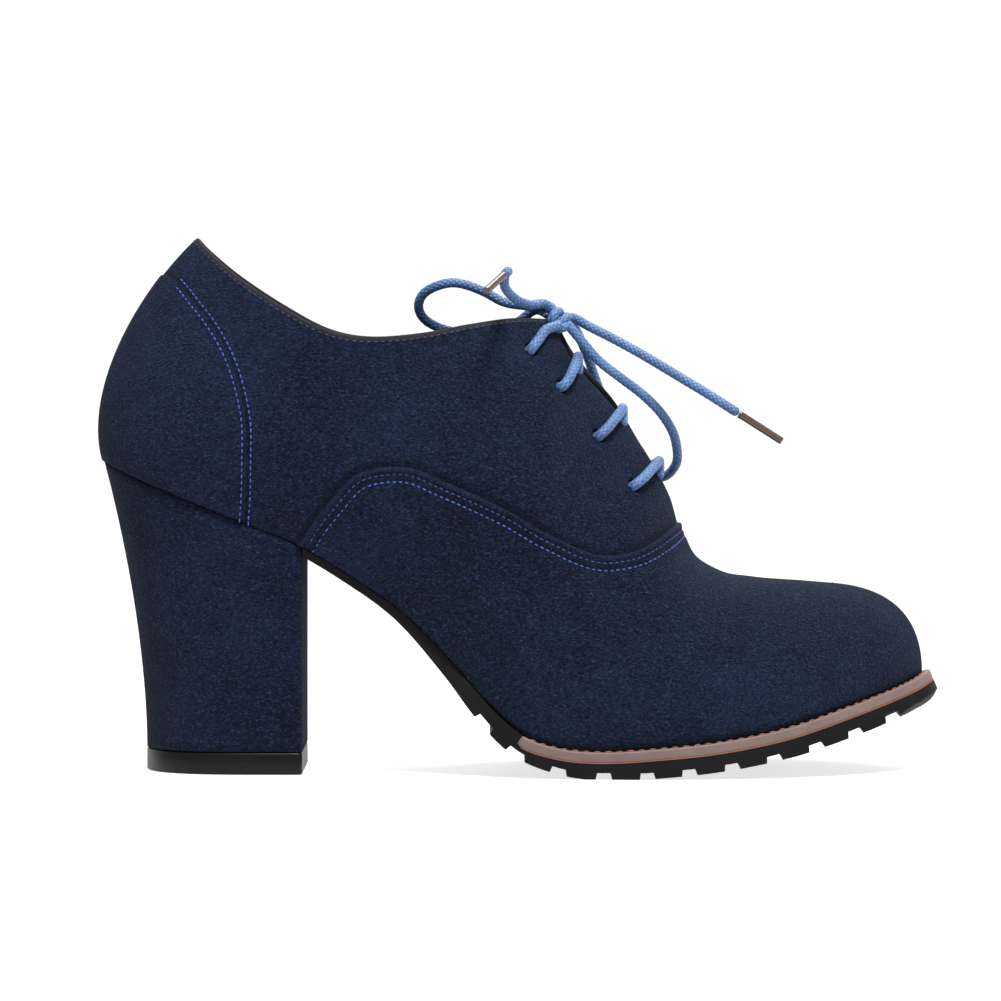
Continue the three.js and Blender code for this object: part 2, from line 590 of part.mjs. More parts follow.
const makeLift = () => stack([heelRing(0, () => 0), heelRing(0, () => LIFT_THICKNESS)]);

// The tongue follows the inside of the facings, bridges the throat, and goes on under the vamp.
function makeTongue() {
  const heights = [HEIGHT_STEPS - 2, HEIGHT_STEPS - 1, HEIGHT_STEPS].map((k) => k / HEIGHT_STEPS);
  const cross = (rib, offset) => [
    ...heights.map((height) => facePoint(-1, rib, height, offset)),
    ...[...heights].reverse().map((height) => facePoint(1, rib, height, offset)),
  ];
  const clear = -(UPPER_WALL + 2 * GAP);
  return sweep(ribPlaces(THROAT_TOP_RIB - 0.5, THROAT_END_RIB + 1).map((rib) => [
    ...cross(rib, clear - TONGUE_THICKNESS), ...cross(rib, clear).reverse()]));
}

// A round cord through points, as a solid with flat ends. spacing: length of one of its steps.
function cord(points, spacing = LACE_DIAMETER * 1.5) {
  const places = points.map((point) => (point.isVector3 ? point : new THREE.Vector3(...point)));
  const curve = new THREE.CatmullRomCurve3(places, false, 'centripetal');
  const round = new THREE.Shape(Array.from({ length: 8 }, (_, i) => {
    const angle = (i + 0.5) * Math.PI / 4;
    return new THREE.Vector2(Math.cos(angle), Math.sin(angle)).multiplyScalar(LACE_DIAMETER / 2);
  }));
  const steps = Math.max(4, Math.round(curve.getLength() / spacing));
  return new THREE.ExtrudeGeometry(round, { steps, extrudePath: curve, bevelEnabled: false });
}

// One strand of a crossing, from over its eyelet across its own facing and down towards the other's edge.
function strand(side, eyelet) {
  const clear = LACE_RADIUS + GAP;
  const rib = (share) => lerp(eyelet.rib, eyelet.over, share);
  const across = (share, along) => facePoint(side, rib(along), 1, clear)
    .lerp(facePoint(-side, rib(along), 1, clear), share);
  return [
    facePoint(side, eyelet.rib, eyelet.height, clear),
    facePoint(side, rib(0.5), lerp(eyelet.height, 1, 0.5), clear + GAP),
    across(0, 0.9).add(new THREE.Vector3(0, 0, GAP)),
    across(0.5, 1),
    across(0.74, 0.96).add(new THREE.Vector3(0, 0, -GAP)),
  ];
}
function crossing(eyelet) {
  const strands = [-1, 1].map((side) => fromGeometry(cord(strand(side, eyelet))));
  return strands[0].add(strands[1]);
}

// The two strands from the top eyelets to the knot, joined under it.
function topCrossing() {
  const [eyelet] = EYELETS;
  const clear = LACE_RADIUS + GAP;
  const [x, y, z] = KNOT;
  const strands = [-1, 1].map((side) => fromGeometry(cord([
    facePoint(side, eyelet.rib, eyelet.height, clear),
    facePoint(side, lerp(eyelet.rib, eyelet.over, 0.5), lerp(eyelet.height, 1, 0.5), clear + GAP),
    facePoint(side, eyelet.over, 1, clear + 2 * GAP),
    new THREE.Vector3(x - LACE_DIAMETER * 1.4, y - side * LACE_RADIUS, z + GAP),
  ])));
  return strands[0].add(strands[1]);
}

// The knot: one turn of the lace round a short core.
function makeKnot() {
  const turn = new THREE.TorusGeometry(LACE_RADIUS * 1.3, LACE_RADIUS, 8, 14);
  turn.rotateY(radians(60));
  turn.translate(...KNOT);
  const core = new THREE.SphereGeometry(LACE_RADIUS * 1.5, 12, 8);
  core.translate(...KNOT);
  return fromGeometry(turn).add(fromGeometry(core));
}

// The hard tip of a lace end, going on in the direction that the lace ends in.
function aglet(points) {
  const [before, tip] = points.slice(-2).map((point) => new THREE.Vector3(...point));
  const direction = tip.clone().sub(before).normalize();
  const tube = new THREE.CylinderGeometry(AGLET_DIAMETER / 2, AGLET_DIAMETER / 2, AGLET_LENGTH, 10);
  tube.applyQuaternion(new THREE.Quaternion().setFromUnitVectors(new THREE.Vector3(0, 1, 0), direction));
  tube.translate(...tip.addScaledVector(direction, GAP + AGLET_LENGTH / 2));
  return tube;
}

// The finish of each material, as seen in daylight.
function finish(color, roughness, metalness = 0) {
  return new THREE.MeshStandardMaterial({ color, roughness, metalness });
}
const SUEDE = finish(0x1b2a4c, 0.95);
const LINING = finish(0x2a2a2e, 0.8);
const RUBBER = finish(0x151515, 0.6);
const TAUPE = finish(0x8a7470, 0.65);
const LACE = finish(0x4877b8, 0.55);
const AGLET = finish(0x6b4a35, 0.35, 0.6);

const shoe = new THREE.Group();
function place(name, made, material) {
  let geometry = made;
  if (!made.isBufferGeometry) {
    const mesh = made.getMesh();
    geometry = new THREE.BufferGeometry();
    geometry.setAttribute('position', new THREE.BufferAttribute(new Float32Array(mesh.vertProperties), 3));
    geometry.setIndex(new THREE.BufferAttribute(new Uint32Array(mesh.triVerts), 1));
  }
  geometry.computeVertexNormals();
  const piece = new THREE.Mesh(geometry, material);
  piece.name = name;
  shoe.add(piece);
  return piece;
}

place('upper', makeUpper(), SUEDE);
place('tongue', makeTongue(), SUEDE);
place('insole', makeInsole(), LINING);
place('welt', makeWelt(), TAUPE);
place('outsole', makeOutsole(), RUBBER);
place('heel', makeHeel(), SUEDE);
place('top_lift', makeLift(), RUBBER);

EYELETS.slice(1).forEach((eyelet, i) => {
  place(`lace_cross_${EYELETS.length - 1 - i}`, crossing(eyelet), LACE);
});
place('lace_cross_4', topCrossing(), LACE);
place('lace_knot', makeKnot(), LACE);
const bow = (points) => cord(points, LACE_DIAMETER * 2.1);
place('lace_loop_left', bow(LOOP_LEFT), LACE);
place('lace_loop_right', bow(LOOP_RIGHT), LACE);
place('lace_end_left', bow(END_LEFT), LACE);
place('lace_end_right', bow(END_RIGHT), LACE);
place('aglet_left', aglet(END_LEFT), AGLET);
place('aglet_right', aglet(END_RIGHT), AGLET);

export default shoe;
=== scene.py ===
"""A women's lace-up shoe on a covered block heel, dressed over its solid model.

Lengths in this file are in millimetres, in the frame of the solid model: +X from heel to toe, +Z up, and the
outer side of the shoe at -Y. Meshes are turned into metres when they are made.
"""

import logging
import math
from dataclasses import dataclass, field
from enum import Enum
from typing import Callable, Iterable, Optional, Sequence, Union

import bmesh
import bpy
import numpy as np
from mathutils import Euler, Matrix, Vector


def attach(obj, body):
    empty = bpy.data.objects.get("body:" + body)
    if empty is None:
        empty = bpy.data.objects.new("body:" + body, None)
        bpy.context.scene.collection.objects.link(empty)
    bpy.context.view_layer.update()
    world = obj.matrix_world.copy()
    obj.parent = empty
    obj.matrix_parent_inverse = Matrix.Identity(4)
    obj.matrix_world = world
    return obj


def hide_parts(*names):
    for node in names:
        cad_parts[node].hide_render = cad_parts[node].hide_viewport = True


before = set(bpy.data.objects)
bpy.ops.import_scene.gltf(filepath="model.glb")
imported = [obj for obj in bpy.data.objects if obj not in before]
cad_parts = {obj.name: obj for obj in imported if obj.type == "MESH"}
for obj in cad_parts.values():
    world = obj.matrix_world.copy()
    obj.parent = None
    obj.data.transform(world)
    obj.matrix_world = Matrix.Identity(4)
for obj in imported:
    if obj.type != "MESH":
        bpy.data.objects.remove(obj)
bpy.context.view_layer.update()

log = logging.getLogger("shoe")
METRES = 0.001
Array = np.ndarray


class Side(Enum):
    """The two sides of the shoe, with the sign of Y on each."""

    OUTER = -1
    INNER = 1


class Rows(Enum):
    """How a grid of points is joined up."""

    OPEN = "open"
    RING = "ring"


# Sizes of the shoe, as in the solid model

LENGTH = 240.0
HALF_BALL = 41.2
SEAT_HEIGHT = 88.4
WALL_HEIGHT = 120.0
TOE_HEIGHT = 43.0
TOE_SPRING = 21.8
UPPER_WALL = 1.8
VAMP_LAP = 0.9
COUNTER_LAP = 0.5
GAP = 0.3
INSOLE_THICKNESS = 2.6
TONGUE_THICKNESS = 1.4
WELT_THICKNESS = 3.1
WELT_MARGIN = 2.8
WELT_SEAT = 5.0
SOLE_THICKNESS = 5.2
WAIST_THICKNESS = 2.2
LUG_DEPTH = 1.8
LUG_GROOVE = 3.8
LUG_PITCH = 11.6
LIFT_THICKNESS = 6.2
HEEL_FOOT_LENGTH = 45.2
HEEL_FOOT_WIDTH = 50.0
HEEL_FLARE = 1.75
LACE_DIAMETER = 2.8
EYELET_DIAMETER = 3.6
AGLET_LENGTH = 14.5
AGLET_DIAMETER = 2.2
LACE_RADIUS = LACE_DIAMETER / 2
TREAD = SOLE_THICKNESS + WELT_THICKNESS + GAP - 0.6
BREAST_RIB = 4.39
THROAT_TOP_RIB = 9.0
THROAT_END_RIB = 14.0
WELT_UNDERSIDE = -(GAP + WELT_THICKNESS)
WELT_END_RIBS = {Side.OUTER: 8.75, Side.INNER: 9.0}


def x_at(share: float) -> float:
    """Gives the place along the shoe for a share of its length from the back."""
    return (share - 0.5) * LENGTH


FIRST_GROOVE = x_at(0.474)
LAST_GROOVE = x_at(0.935)

# Feather line from the side: share of the length, share of the seat's rise over the tread, share of
# the toe spring.
FEATHER = np.array([
    (-0.010, 1.016, 0), (0.004, 1.000, 0), (0.088, 0.894, 0), (0.183, 0.780, 0), (0.242, 0.709, 0),
    (0.304, 0.599, 0), (0.367, 0.467, 0), (0.429, 0.280, 0), (0.471, 0.139, 0), (0.508, 0.049, 0),
    (0.550, 0.010, 0), (0.596, 0, 0), (0.667, 0, 0.046), (0.740, 0, 0.133), (0.813, 0, 0.289),
    (0.885, 0, 0.530), (0.963, 0, 0.812), (1.010, 0, 1.000),
])

# Ribs of the last from the back of the heel to the tip of the toe: foot x, outer, inner; top x, y;
# rise in shares of the wall and toe heights; lean outer, inner; swell; face; crest; reach.
RIBS = np.array([
    (0.007, 0, 0, 0.117, 0, 0, 0.619, 0, 16, 16, 0.30, -90, 43, 0.33),
    (0.025, 0.357, 0.345, 0.131, 0.214, 0.214, 0.600, 0, 15, 15, 0.30, -58, 52, 0.33),
    (0.071, 0.583, 0.560, 0.167, 0.417, 0.417, 0.567, 0, 14, 14, 0.32, -38, 66, 0.34),
    (0.142, 0.679, 0.643, 0.221, 0.583, 0.583, 0.536, 0, 12, 12, 0.34, -22, 78, 0.34),
    (0.217, 0.686, 0.620, 0.275, 0.655, 0.655, 0.536, 0, 10, 14, 0.35, -8, 82, 0.35),
    (0.292, 0.667, 0.536, 0.329, 0.667, 0.667, 0.588, 0, 10, 18, 0.36, 0, 82, 0.35),
    (0.363, 0.671, 0.500, 0.388, 0.620, 0.620, 0.693, 0, 9, 20, 0.37, 8, 78, 0.34),
    (0.425, 0.714, 0.524, 0.446, 0.476, 0.476, 0.840, 0, 8, 20, 0.37, 10, 68, 0.32),
    (0.479, 0.810, 0.607, 0.500, 0.286, 0.286, 0.961, 0, 6, 16, 0.37, 6, 55, 0.30),
    (0.517, 0.881, 0.690, 0.532, 0.143, 0.143, 0.988, 0, 4, 12, 0.37, 0, 45, 0.30),
    (0.546, 0.929, 0.762, 0.567, 0.119, 0.119, 0.896, 0, 3, 8, 0.37, 0, 42, 0.30),
    (0.575, 0.964, 0.833, 0.612, 0.095, 0.095, 0.795, 0, 2, 6, 0.38, 0, 40, 0.30),
    (0.613, 0.990, 0.905, 0.650, 0.071, 0.071, 0.687, 0, 3, 5, 0.38, 0, 36, 0.31),
    (0.650, 1.000, 0.952, 0.679, 0.048, 0.048, 0.578, 0, 4, 5, 0.40, 0, 28, 0.33),
    (0.683, 0.998, 0.981, 0.693, 0, 0, 0.487, 0, 6, 6, 0.41, 0, 10, 0.36),
    (0.717, 0.981, 0.990, 0.713, 0, 0, 0.200, 0.603, 7, 7, 0.42, 0, 0, 0.38),
    (0.754, 0.943, 0.976, 0.742, 0, 0, 0, 1.045, 8, 7, 0.42, 0, 0, 0.40),
    (0.808, 0.857, 0.917, 0.783, -0.010, 0.010, 0, 0.958, 9, 8, 0.42, 0, 0, 0.41),
    (0.867, 0.702, 0.798, 0.833, -0.024, 0.024, 0, 0.868, 10, 9, 0.43, 4, 0, 0.42),
    (0.913, 0.512, 0.643, 0.875, -0.036, 0.036, 0, 0.775, 10, 10, 0.42, 28, 2, 0.40),
    (0.952, 0.274, 0.429, 0.875, -0.036, 0.036, 0, 0.775, 8, 8, 0.43, 58, 3, 0.42),
    (0.979, -0.071, 0.071, 0.875, -0.036, 0.036, 0, 0.775, 0, 0, 0.45, 90, 4, 0.45),
])
LAST_RIB = len(RIBS) - 1

# Seams from the side: share of the length, height over the feather line as a share of the wall height.
VAMP_SEAM = (
    (0.234, -0.03), (0.246, 0.012), (0.259, 0.068), (0.280, 0.145), (0.304, 0.229), (0.326, 0.278),
    (0.355, 0.326), (0.380, 0.363), (0.410, 0.398), (0.451, 0.453), (0.493, 0.497), (0.526, 0.494),
    (0.549, 0.481), (0.572, 0.464), (0.595, 0.451), (0.620, 0.451), (0.650, 0.464), (0.694, 0.513),
)
COUNTER_SEAM = (
    (0.179, -0.03), (0.179, 0.004), (0.181, 0.059), (0.182, 0.139), (0.182, 0.230), (0.176, 0.296),
    (0.164, 0.364), (0.145, 0.421), (0.120, 0.466), (0.088, 0.505), (0.040, 0.480),
)

# Shares of the wall's height: the dark strip along the collar, and what the inner facing stands over
# the outer one.
STRIP = 0.010
FACING_RISE = 0.036

# A lapped piece's edge: how wide it is rounded, how deep in the quarters it starts, and the hidden wall
# that closes the piece.
EDGE_ROLL = 0.8
EDGE_TUCK = 0.3
LAP_BACKING = 0.25

# The vamp's lip: how far it swells up, where inside the edge, and its reach.
LIP = 0.32
LIP_PLACE = 0.95
LIP_REACH = 0.75

# The rows of stitches on the vamp: how far inside its edge, and how deep and wide each pulls in.
STITCH_ROWS = (2.2, 4.3)
CHANNEL = 0.26
CHANNEL_REACH = 0.55

# The rows of stitches at the counter's seam, inwards positive, and the row under the collar's strip.
COUNTER_ROWS = (-1.2, 1.25)
COLLAR_ROW = 0.85

# Eyelets from the collar down: rib, height on the rib, and the rib at which the strand passes the
# facing's edge. The drill that cuts them is a little wider than the lace's hole in the solid model.
EYELET_EASE = 0.35
DRILL_REACH = 5.0
EYELETS = ((8.42, 0.900, 9.0), (9.60, 0.845, 10.0), (10.68, 0.830, 11.2), (11.74, 0.790, 12.4))

# The bow, as the middle line of the lace, knot first.
KNOT = (11.9, -1.5, 128.2)
LOOP_LEFT = (
    (8.7, 0.9, 132.3), (3.6, 1.4, 132.2), (-3.7, 2.2, 133.2), (-9.4, 2.6, 136.1), (-14.8, 2.8, 138.2),
    (-19.1, 3.0, 138.8), (-23.4, 3.6, 137.8), (-26.9, 4.8, 135.8), (-28.4, 6.2, 133.0), (-28.0, 7.6, 130.1),
    (-25.6, 8.8, 127.5), (-20.9, 9.4, 125.4), (-15.0, 9.2, 124.3), (-8.0, 8.6, 124.6), (-1.0, 7.2, 127.0),
    (5.0, 4.6, 131.0),
)
LOOP_RIGHT = (
    (14.9, -4.3, 125.9), (18.4, -4.2, 121.8), (23.0, -3.6, 116.6), (29.4, -2.4, 111.6), (35.2, -0.8, 107.2),
    (40.2, 1.0, 102.4), (43.8, 3.2, 97.2), (45.4, 5.8, 92.6), (45.6, 9.6, 87.2), (42.4, 14.2, 83.2),
    (37.0, 18.8, 83.4), (31.6, 20.6, 88.6), (28.0, 20.0, 96.0), (25.0, 16.6, 104.0), (22.0, 11.8, 112.2),
    (18.8, 6.8, 120.6), (15.6, 3.0, 127.0),
)
END_RIGHT = (
    (15.8, 0.4, 128.8), (20.6, 0.0, 126.2), (28.4, -1.6, 122.2), (36.6, -3.4, 117.6), (45.4, -5.4, 112.3),
    (54.0, -7.4, 107.1), (62.6, -9.0, 101.6),
)
END_LEFT = (
    (7.8, -3.4, 132.7), (3.4, -7.4, 132.5), (-0.6, -12.0, 134.0), (-3.6, -15.8, 137.2), (-3.8, -19.4, 140.6),
    (-2.9, -23.2, 141.8), (-4.0, -26.0, 140.8),
)


def hermite(values: Array, places: Array, x: Array) -> Array:
    """Runs a smooth curve through four values, without overshoot.

    Args:
        values: four values for each place asked, shape (4, ...).
        places: the four places that they stand at, shape (4, ...).
        x: where to read the curve, between the middle two.

    Returns:
        The curve's values.
    """
    p0, p1, p2, p3 = values
    x0, x1, x2, x3 = places
    span = x2 - x1
    slopes = (p1 - p0) / (x1 - x0), (p2 - p1) / span, (p3 - p2) / (x3 - x2)

    def tangent(before: Array, after: Array, wide: Array) -> Array:
        """Gives the slope at a knot, held back where the curve turns."""
        most = 3 * np.minimum(np.abs(before), np.abs(after))
        return np.where(before * after <= 0, 0, np.sign(wide) * np.minimum(np.abs(wide), most))

    m1 = tangent(slopes[0], slopes[1], (p2 - p0) / (x2 - x0)) * span
    m2 = tangent(slopes[1], slopes[2], (p3 - p1) / (x3 - x1)) * span
    t = (x - x1) / span
    t2, t3 = t * t, t * t * t
    return (2 * t3 - 3 * t2 + 1) * p1 + (t3 - 2 * t2 + t) * m1 + (3 * t2 - 2 * t3) * p2 + (t3 - t2) * m2


def feather_height(x: Array) -> Array:
    """Gives the height of the feather line over the floor at x.

    Args:
        x: places along the shoe.

    Returns:
        The heights.
    """
    at = np.asarray(x, float) / LENGTH + 0.5
    places = FEATHER[:, 0]
    last = len(places) - 1
    i = np.clip(np.searchsorted(places, at, side="left") - 1, 0, last - 1)
    pick = np.stack([np.maximum(i - 1, 0), i, i + 1, np.minimum(i + 2, last)])
    spots = places[pick]
    spots[0] = np.where(i == 0, places[0] - (places[1] - places[0]), spots[0])
    spots[3] = np.where(i == last - 1, 2 * places[last] - places[last - 1], spots[3])
    rise = hermite(FEATHER[:, 1][pick], spots, at)
    spring = hermite(FEATHER[:, 2][pick], spots, at)
    return TREAD + rise * (SEAT_HEIGHT - TREAD) + spring * TOE_SPRING


def feather_normal(x: Array) -> Array:
    """Gives the upward direction square to the feather line at x, in space.

    Args:
        x: places along the shoe.

    Returns:
        The directions, of length one.
    """
    slope = feather_height(np.asarray(x) + 0.5) - feather_height(np.asarray(x) - 0.5)
    made = np.stack([-slope, np.zeros_like(slope), np.ones_like(slope)], -1)
    return made / np.linalg.norm(made, axis=-1, keepdims=True)


def lift(plan: Array, height: Array) -> Array:
    """Raises plan points by a height square to the feather line."""
    foot = np.stack([plan[..., 0], plan[..., 1], feather_height(plan[..., 0])], -1)
    return foot + feather_normal(plan[..., 0]) * np.asarray(height)[..., None]


def unit(v: Array) -> Array:
    """Scales vectors to length one."""
    return v / np.maximum(np.linalg.norm(v, axis=-1, keepdims=True), 1e-12)


class Column(Enum):
    """The columns of the rib table that are read along the shoe."""

    FOOT_X = "foot_x"
    FOOT_Y = "foot_y"
    TOP_X = "top_x"
    TOP_Y = "top_y"
    TOP_Z = "top_z"
    LEAN = "lean"
    SWELL = "swell"
    FACE_X = "face_x"
    FACE_Y = "face_y"
    CREST = "crest"
    REACH = "reach"


class Last:
    """The form of the foot that the upper is drawn over, as ribs that are read at any place."""

    def __init__(self) -> None:
        """Works out each column for each side, gone on past both ends along the other side."""
        self.columns: dict[tuple[Column, Side], Array] = {}
        for column in Column:
            read = {side: self._column(column, side) for side in Side}
            for side, other in ((Side.OUTER, Side.INNER), (Side.INNER, Side.OUTER)):
                mine, theirs = read[side], read[other]
                self.columns[column, side] = np.concatenate([[theirs[1]], mine, [theirs[-2]]])

    @staticmethod
    def _column(column: Column, side: Side) -> Array:
        """Reads one column of the table for one side.

        Args:
            column: which column.
            side: which side of the shoe.

        Returns:
            Its values, one for each rib.
        """
        sign = side.value
        offset = 0 if side is Side.OUTER else 1
        top_x = x_at(RIBS[:, 3])
        return {
            Column.FOOT_X: x_at(RIBS[:, 0]),
            Column.FOOT_Y: sign * RIBS[:, 1 + offset] * HALF_BALL,
            Column.TOP_X: top_x,
            Column.TOP_Y: sign * RIBS[:, 4 + offset] * HALF_BALL,
            Column.TOP_Z: feather_height(top_x) + RIBS[:, 6] * WALL_HEIGHT + RIBS[:, 7] * TOE_HEIGHT,
            Column.LEAN: np.radians(RIBS[:, 8 + offset]),
            Column.SWELL: RIBS[:, 10],
            Column.FACE_X: np.sin(np.radians(RIBS[:, 11])),
            Column.FACE_Y: sign * np.cos(np.radians(RIBS[:, 11])),
            Column.CREST: np.radians(RIBS[:, 12]),
            Column.REACH: RIBS[:, 13],
        }[column]

    def read(self, column: Column, side: Side, rib: Array) -> Array:
        """Reads a column at places between ribs.

        Args:
            column: which column.
            side: which side of the shoe.
            rib: places along the ribs.

        Returns:
            Its values there.
        """
        values = self.columns[column, side]
        i = np.clip(np.floor(rib).astype(int), 0, LAST_RIB - 1)
        picked = values[np.stack([i, i + 1, i + 2, i + 3])]
        shape = np.ones(i.shape)
        places = np.stack([-shape, 0 * shape, shape, 2 * shape])
        return hermite(picked, places, rib - i)

    def outward(self, side: Side, rib: Array) -> Array:
        """Gives the outward direction of the feather line in plan.

        Args:
            side: which side of the shoe.
            rib: places along the ribs.

        Returns:
            The directions, of length one.
        """
        near, far = np.maximum(0, rib - 0.02), np.minimum(LAST_RIB, rib + 0.02)
        dx = self.read(Column.FOOT_X, side, far) - self.read(Column.FOOT_X, side, near)
        dy = self.read(Column.FOOT_Y, side, far) - self.read(Column.FOOT_Y, side, near)
        out = unit(np.stack([-side.value * dy, side.value * dx], -1))
        out[rib <= 0] = (-1, 0)
        out[rib >= LAST_RIB] = (1, 0)
        return out

    def outline(self, side: Side, rib: Array, margin: Union[float, Array] = 0.0) -> Array:
        """Gives points of the feather line in plan, moved outwards by a margin.

        Args:
            side: which side of the shoe.
            rib: places along the ribs.
            margin: how far it is moved outwards.

        Returns:
            The points.
        """
        rib = np.asarray(rib, float)
        foot = np.stack([self.read(Column.FOOT_X, side, rib), self.read(Column.FOOT_Y, side, rib)], -1)
        return foot + self.outward(side, rib) * np.broadcast_to(margin, rib.shape)[..., None]

    def point(self, side: Side, rib: Array, height: Array) -> Array:
        """Gives points of the upper's outer face.

        Args:
            side: which side of the shoe.
            rib: places along the table of ribs.
            height: 0 at the feather line to 1 at the rib's top. Over 1 it goes straight on.

        Returns:
            The points, in millimetres.
        """
        rib, height = np.broadcast_arrays(np.asarray(rib, float), np.asarray(height, float))
        plan = self.outline(side, rib)
        foot = np.stack([plan[..., 0], plan[..., 1], feather_height(plan[..., 0])], -1)
        top = np.stack([self.read(c, side, rib) for c in (Column.TOP_X, Column.TOP_Y, Column.TOP_Z)], -1)
        chord = np.linalg.norm(foot - top, axis=-1)
        out = self.outward(side, rib)
        lean, crest = self.read(Column.LEAN, side, rib), self.read(Column.CREST, side, rib)
        lower = chord * self.read(Column.SWELL, side, rib)
        upper = chord * self.read(Column.REACH, side, rib)
        face = unit(np.stack([self.read(Column.FACE_X, side, rib), self.read(Column.FACE_Y, side, rib)], -1))
        start = np.stack([out[..., 0] * np.sin(lean), out[..., 1] * np.sin(lean), np.cos(lean)], -1)
        end = np.stack([face[..., 0] * np.cos(crest), face[..., 1] * np.cos(crest), -np.sin(crest)], -1)
        p1, p2 = foot + start * lower[..., None], top + end * upper[..., None]
        t = np.clip(height, 0, 1)[..., None]
        s = 1 - t
        made = s ** 3 * foot + 3 * s * s * t * p1 + 3 * s * t * t * p2 + t ** 3 * top
        beyond = np.maximum(height - 1, 0)[..., None]
        return made - end * beyond * chord[..., None]

    def normal(self, side: Side, rib: Array, height: Array) -> Array:
        """Gives the outward directions of the upper's face at the same places.

        Args:
            side: which side of the shoe.
            rib: places along the ribs.
            height: heights on the ribs.

        Returns:
            The directions, of length one.
        """
        rib, height = np.broadcast_arrays(np.asarray(rib, float), np.minimum(height, 1.0))
        step = 0.01

        def at(r: Array, h: Array) -> Array:
            """Reads the face, kept on the table."""
            return self.point(side, np.clip(r, 0, LAST_RIB), np.clip(h, 0, 1))

        along = at(rib + step, height) - at(rib - step, height)
        up = at(rib, height + step) - at(rib, height - step)
        along[rib <= 0] = (0, side.value, 0)
        along[rib >= LAST_RIB] = (0, -side.value, 0)
        made = unit(np.cross(along, up)) * -side.value
        foot = height < step
        upright = feather_normal(self.outline(side, rib)[..., 0])
        level = made - upright * np.sum(made * upright, -1, keepdims=True)
        made[foot] = unit(level[foot])
        shared = (height > 0.999) & (rib >= THROAT_END_RIB)
        base = np.minimum(rib, LAST_RIB - 2.3)
        run_x, run_z = (self.read(column, side, base + 0.05) - self.read(column, side, base - 0.05)
                        for column in (Column.TOP_X, Column.TOP_Z))
        ridge = unit(np.stack([-run_z, np.zeros_like(run_x), run_x], -1))
        made[shared] = ridge[shared]
        return made

    def face(self, side: Side, rib: Array, height: Array, offset: Union[float, Array] = 0.0) -> Array:
        """Gives points at an offset from the upper's outer face, outwards positive.

        Args:
            side: which side of the shoe.
            rib: places along the ribs.
            height: heights on the ribs.
            offset: how far out from the face.

        Returns:
            The points.
        """
        rib, height = np.broadcast_arrays(np.asarray(rib, float), np.asarray(height, float))
        off = np.broadcast_to(offset, rib.shape)[..., None]
        return self.point(side, rib, height) + self.normal(side, rib, height) * off


LAST = Last()


def rib_places(start: float, end: float, per_rib: float) -> Array:
    """Gives even places along the ribs, ends included."""
    return np.linspace(start, end, max(2, int(round((end - start) * per_rib)) + 1))


def round_places(start: dict[Side, float], per_rib: float) -> list[tuple[Side, Array]]:
    """Gives the places from one side's start round the toe to the other's, as a run for each side.

    Args:
        start: where each side starts.
        per_rib: how many places from one rib to the next.

    Returns:
        For each side, the side and its places.
    """
    outer = rib_places(start[Side.OUTER], LAST_RIB, per_rib)
    inner = rib_places(start[Side.INNER], LAST_RIB, per_rib)
    return [(Side.OUTER, outer), (Side.INNER, inner[::-1][1:])]


@dataclass(frozen=True)
class Seam:
    """A seam drawn from the side, as a smooth line with a sense of in and out.

    Attributes:
        rows: its points, as shares of the length and of the wall height.
        inside: 1 where the lapped piece lies to the right of the line, -1 where it lies to the left.
        reach: how far the line goes on at each end, in millimetres.
    """

    rows: tuple[tuple[float, float], ...]
    inside: int = 1
    reach: tuple[float, float] = (20.0, 20.0)

    def line(self, count: int = 240) -> Array:
        """Gives the seam's points in the side view.

        Args:
            count: how many points.

        Returns:
            The points, in millimetres.
        """
        x = np.array([x_at(row[0]) for row in self.rows])
        z = feather_height(x) + np.array([row[1] for row in self.rows]) * WALL_HEIGHT
        points = np.stack([x, z], -1)
        smooth = resample(catmull(points, 12), count)
        head = unit(smooth[0] - smooth[3]) * self.reach[0] + smooth[0]
        tail = unit(smooth[-1] - smooth[-4]) * self.reach[1] + smooth[-1]
        return np.concatenate([[head], smooth, [tail]])

    def depth(self, points: Array) -> Array:
        """Gives how far points lie inside the seam, seen from the side. Outside is negative.

        Args:
            points: the points.

        Returns:
            The depths, in millimetres.
        """
        line = self.line()
        flat = points.reshape(-1, 3)[:, [0, 2]]
        best = np.full(len(flat), np.inf)
        sign = np.ones(len(flat))
        for a, b in zip(line[:-1], line[1:]):
            run = b - a
            t = np.clip(((flat - a) @ run) / max(run @ run, 1e-12), 0, 1)
            gap = flat - (a + t[:, None] * run)
            far = np.einsum("ij,ij->i", gap, gap)
            cross = run[0] * gap[:, 1] - run[1] * gap[:, 0]
            nearer = far < best
            best = np.where(nearer, far, best)
            sign = np.where(nearer, np.where(cross < 0, 1.0, -1.0), sign)
        return (np.sqrt(best) * sign * self.inside).reshape(points.shape[:-1])


def catmull(points: Array, steps: int) -> Array:
    """Runs a smooth line through points, with a few steps between each two.

    Args:
        points: the points.
        steps: how many between each two.

    Returns:
        The line.
    """
    points = np.asarray(points, float)
    padded = np.concatenate([[2 * points[0] - points[1]], points, [2 * points[-1] - points[-2]]])
    made = []
    t = np.linspace(0, 1, steps, endpoint=False)[:, None]
    for i in range(len(points) - 1):
        p0, p1, p2, p3 = padded[i:i + 4]
        made.append(0.5 * (2 * p1 + (p2 - p0) * t + (2 * p0 - 5 * p1 + 4 * p2 - p3) * t ** 2
                           + (3 * p1 - p0 - 3 * p2 + p3) * t ** 3))
    return np.concatenate([*made, points[-1:]])


def resample(points: Array, count: int) -> Array:
    """Spaces points evenly along a line.

    Args:
        points: the points.
        count: how many points.

    Returns:
        The new points.
    """
    steps = np.concatenate([[0], np.cumsum(np.linalg.norm(np.diff(points, axis=0), axis=1))])
    at = np.linspace(0, steps[-1], count)
    return np.stack([np.interp(at, steps, points[:, k]) for k in range(points.shape[1])], -1)


